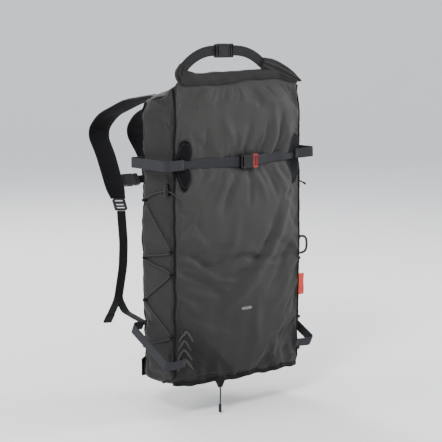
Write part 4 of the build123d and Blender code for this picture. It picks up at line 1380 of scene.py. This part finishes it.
def make_lower_anchors():
    """Triangular tabs in the bottom corners, each with the tongue that holds the adjuster webbing's end."""
    for name, side in SIDES.items():
        root = side * 0.0777
        corners = np.array([
            (side * (HALF - 0.002), -0.2965), (side * (HALF - 0.036), -0.2965), (root - side * 0.010, -0.241),
            (root - side * 0.010, -0.224), (root + side * 0.012, -0.224), (side * (HALF - 0.002), -0.2625),
        ])
        ring = []
        for a, b in zip(corners, np.roll(corners, -1, axis=0)):
            ring += [a + (b - a) * t for t in np.linspace(0, 1, 11)[:-1]]
        centre = corners.mean(0)
        points, faces = [], []
        rings, count = 5, len(ring)
        for k in range(rings + 1):
            share = 1 - k / (rings + 0.6)
            for p in ring:
                q = centre + (p - centre) * share
                puff = 0.0016 * min(1.0, (1 - share) * 2.2)
                points.append((q[0], BACK_Y + 0.0004 + 0.0012 + puff, q[1]))
        for k in range(rings):
            faces += join(k * count, (k + 1) * count, count)
        faces.append(tuple(range(rings * count, (rings + 1) * count)))
        faces += join(len(points), 0, count)
        points += [(p[0], BACK_Y + 0.0002, p[1]) for p in ring]
        if side < 0:
            faces = [f[::-1] for f in faces]
        build(f"lower_anchor_{name}", points, faces, BLACK_CLOTH, "pack",
              replaces=["lower_anchors"])
        hem = [(x, BACK_Y + 0.0030, z) for x, z in (p + (centre - p) * 0.09 for p in ring)]
        stitch_row(f"anchor_stitches_{name}", hem + [hem[0]], BACKWARD, "pack")
        tongue = [(root, y, -0.2325) for y in (BACK_Y + 0.0005, -0.002, 0.0083)]
        strap(f"anchor_tongue_{name}", rounded(tongue, 0.01, 1.5 * MM), RIGHT, WEB_WIDE, WEB_THICK, BLACK_WEB,
              "pack")


make_back_pad()
make_yoke()
make_haul_loop()
make_lower_anchors()

# ------------------------------------------------------------------ shoulder harness


# The shoulder straps lie in planes that lean inward as they rise, by about four degrees.
LEAN, RISE = 0.0698, 0.9976


def harness_point(side, u, v):
    """A point of one shoulder strap's upright plane, from its distance back and its height, in metres."""
    return np.array([side * (0.0616 - LEAN * v), u, RISE * v])


def harness_across(side):
    """The way across a shoulder strap, square to its plane."""
    return unit(np.array([RISE, 0.0, side * LEAN]))


PAD_ROUTE = [(0, 0.237), (0.060, 0.256), (0.170, 0.240), (0.262, 0.207), (0.302, 0.168), (0.262, 0.120),
             (0.208, 0.032)]
PAD_RADII = [0.100, 0.200, 0.100, 0.026, 0.200]
RAIL_START, RAIL_END = (0.262, 0.120), (0.208, 0.032)
DOWN = unit(np.array(RAIL_END) - np.array(RAIL_START))
OUT = np.array([-DOWN[1], DOWN[0]])


def make_shoulder_pad(name, side):
    """One padded shoulder strap, its edges bound and stitched."""
    route = rounded([harness_point(side, u, v) for u, v in PAD_ROUTE], PAD_RADII, 2.6 * MM)
    across = -harness_across(side)

    def outline(i, share):
        """Width narrows downward, the outside is crowned, the inside padded and flatter."""
        width = 0.0540 - 0.010 * max(0.0, share - 0.35) / 0.65
        width *= 1 - 0.22 * math.exp(-((share - 1) / 0.03) ** 2)
        top, bottom = math.exp(-((share / 0.02) ** 2)), math.exp(-(((1 - share) / 0.03) ** 2))
        tall = 0.0056 * (1 - 0.25 * top - 0.3 * bottom)
        section = []
        for way, wave in ((1, 0.00035), (-1, 0.0)):
            for v in np.linspace(-way, way, 25):
                puff = tall * (1.04 - 0.72 * abs(v) ** 2.6) - tall * 0.05
                section.append((v * width / 2, way * puff + wave * math.sin(share * 150 + 4 * v)))
        return section

    pad = sweep(f"shoulder_pad_{name}_foam", route, across, outline, [AIR_MESH, SLATE_CLOTH], "harness",
                replaces=[f"shoulder_pad_{name}"], face_material=lambda j: int(1 <= j < 24))
    co = coordinates(pad)
    co += 0.0005 * swirl(co, 90.0, 20.0 + side)[:, None] * np.array([0.0, 0.4, 1.0])
    set_coordinates(pad, co)
    length = along(route)
    outward = np.cross(tangents(route), across)
    half = np.array([[outline(i, here / length[-1])[24][0]] for i, here in enumerate(length)])
    for way in (-1, 1):
        label = "inner" if way * side > 0 else "outer"
        seam = route + way * (half - 0.0055) * across + outward * 0.0040
        stitch_row(f"pad_stitches_{name}_{label}", soften(seam, 2)[6:-6], outward[len(route) // 2], "harness",
                   gap=4.2 * MM)
        edge = resample(soften(route + way * half * across, 2), 2.6 * MM)
        tube(f"pad_binding_{name}_{label}", edge, 1.9 * MM, BLACK_WEB, "harness", sides=8)


def rail_point(side, s, h):
    """A point over a pad's lower stretch: s along it from RAIL_START and h out from its middle."""
    return harness_point(side, *(np.array(RAIL_START) + DOWN * s + OUT * h))


def make_rail(name, side):
    """The webbing the sternum slider runs on, sewn down at both ends of the pad's lower stretch."""
    low_h, high_h = 0.0059, 0.0092
    route = [(0.016, low_h), (0.022, low_h), (0.028, high_h), (0.088, high_h), (0.094, low_h), (0.1012, low_h)]
    path = rounded([rail_point(side, s, h) for s, h in route], 0.004, 1.6 * MM)
    strap(f"rail_webbing_{name}", path, harness_across(side), 0.017, 0.0016, BLACK_WEB, "harness",
          replaces=["rail_webbings"])
    forward = harness_point(side, *DOWN) - harness_point(side, 0, 0)
    for where, s in (("top", 0.019), ("bottom", 0.0975)):
        bar_tack(f"rail_tack_{name}_{where}", rail_point(side, s, 0.0070), harness_across(side), forward, 0.014,
                 "harness")


def make_adjusters(name, side):
    """The webbing from the bag's corner through the ladder lock, and its free tail with a folded end."""
    route = [(0.1926, 0.007), (0.178, -0.060), (0.176, -0.110), (0.188, -0.180), (0.160, -0.205),
             (0.073, -0.219), (0.009, -0.232)]
    radii = [0.150, 0.150, 0.015, 0.030, 0.200]
    path = rounded([harness_point(side, u, v) for u, v in route], radii, 2.6 * MM)
    piece = strap(f"adjuster_{name}_web", path, harness_across(side), WEB_WIDE, 0.0018, BLACK_WEB, "",
                  replaces=[f"adjuster_webbing_{name}"])
    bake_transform(piece)
    tail = [(0.1952, 0.006), (0.1806, -0.060), (0.1786, -0.110), (0.1906, -0.182), (0.226, -0.238)]
    path = rounded([harness_point(side, u, v) for u, v in tail], [0.150, 0.150, 0.060], 2.6 * MM)
    length = along(path)[-1]

    def outline(i, share):
        folded = np.clip((share * length - (length - 0.022)) / 0.0015, 0, 1)
        return strap_section(WEB_WIDE, 0.0018 + 0.0029 * folded)

    sweep(f"adjuster_tail_{name}_web", path, harness_across(side), outline, BLACK_WEB, "harness",
          replaces=[f"adjuster_tail_{name}"])


def make_sternum_strap():
    """The strap across the chest, in two lengths that meet at its buckle."""
    across = np.array([0, DOWN[0], DOWN[1]])
    for name, body in (("left", "sternum"), ("right", "")):
        node = f"sternum_webbing_{name}"
        lo, hi, (_, y, z) = extent(node)
        path = np.linspace((lo[0], y, z), (hi[0], y, z), 22)
        piece = strap(f"sternum_{name}_web", path, across, 0.018, 0.0018, BLACK_WEB, body,
                      replaces=[node])
    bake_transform(piece)


for side_name, side_sign in SIDES.items():
    make_shoulder_pad(side_name, side_sign)
    make_rail(side_name, side_sign)
    make_adjusters(side_name, side_sign)
make_sternum_strap()

# ------------------------------------------------------------------ hard parts keep their CAD shape

HARD = {
    BLACK_PLASTIC: ["ski_buckle_female", "roll_buckle_male", "sternum_buckle_female", "sternum_buckle_male",
                    "ladder_lock_left", "ladder_lock_right", "sternum_slider_left", "sternum_slider_right",
                    "cord_lock_barrels", "cord_end", "roll_buckle_female", "cord_lock_plunger_left",
                    "cord_lock_plunger_right"],
    RED_PLASTIC: ["ski_buckle_male"],
    ALUMINIUM: ["frame_stays"],
    SHEET_PLASTIC: ["frame_sheet"],
}
for finish, names in HARD.items():
    for node in names:
        piece = bpy.data.objects[node]
        piece.data.materials.clear()
        piece.data.materials.append(finish)

# ------------------------------------------------------------------ floor and light


def make_stage():
    """A pale floor that sweeps up into a low backdrop all round."""
    floor_z = cad_box[0][2] - 0.003
    profile = [(r, 0.0) for r in (0.5, 1.5, 3.0, 6.0)] + [
        (6.0 + 3.0 * math.sin(a), 3.0 - 3.0 * math.cos(a)) for a in np.linspace(0.08, 1.25, 16)]
    count = 72
    points = [(0.0, 0.0, floor_z)]
    for radius, rise in profile:
        points += [(radius * math.cos(a), radius * math.sin(a), floor_z + rise) for a in turns(count)]
    faces = [(0, 1 + i, 1 + (i + 1) % count) for i in range(count)]
    for ring in range(len(profile) - 1):
        inner, outer = 1 + ring * count, 1 + (ring + 1) * count
        for i in range(count):
            faces.append((inner + i, outer + i, outer + (i + 1) % count, inner + (i + 1) % count))
    paper = Shader("paper")
    grain = paper.noise(paper.coordinates(), 3.0, 2.0)
    tone = paper.mix(grain, (0.90, 0.90, 0.90), (0.93, 0.93, 0.93))
    mesh = bpy.data.meshes.new("floor")
    mesh.from_pydata(points, [], faces)
    mesh.materials.append(paper.finish(tone, 0.9, paper.bump(grain, 0.1 * MM, 0.1)))
    mesh.polygons.foreach_set("use_smooth", [True] * len(mesh.polygons))
    floor = add_object("floor", mesh)


def area_light(name, place, aim, size, power):
    """A round lamp that faces a point."""
    data = bpy.data.lights.new(name, "AREA")
    data.shape = "DISK"
    data.size = size
    data.energy = power
    point_at(add_object(name, data), place, aim)


def make_light():
    """A bright even sky, a key lamp at the front left, and weaker lamps round the bag."""
    world = bpy.data.worlds.new("studio")
    world.use_nodes = True
    background = world.node_tree.nodes["Background"]
    background.inputs["Color"].default_value = (0.93, 0.95, 1.0, 1.0)
    background.inputs["Strength"].default_value = 1.0
    bpy.context.scene.world = world
    area_light("key", (-2.2, -1.5, 2.1), (0, -0.1, 0.05), 0.9, 85)
    area_light("side", (2.4, -1.1, 0.9), (0, -0.05, 0), 0.7, 46)
    area_light("left", (-2.6, 0.9, 1.3), (0, 0, 0), 1.2, 24)
    area_light("rear", (0.6, 2.4, 2.0), (0, 0.1, 0), 1.2, 60)


make_stage()
make_light()
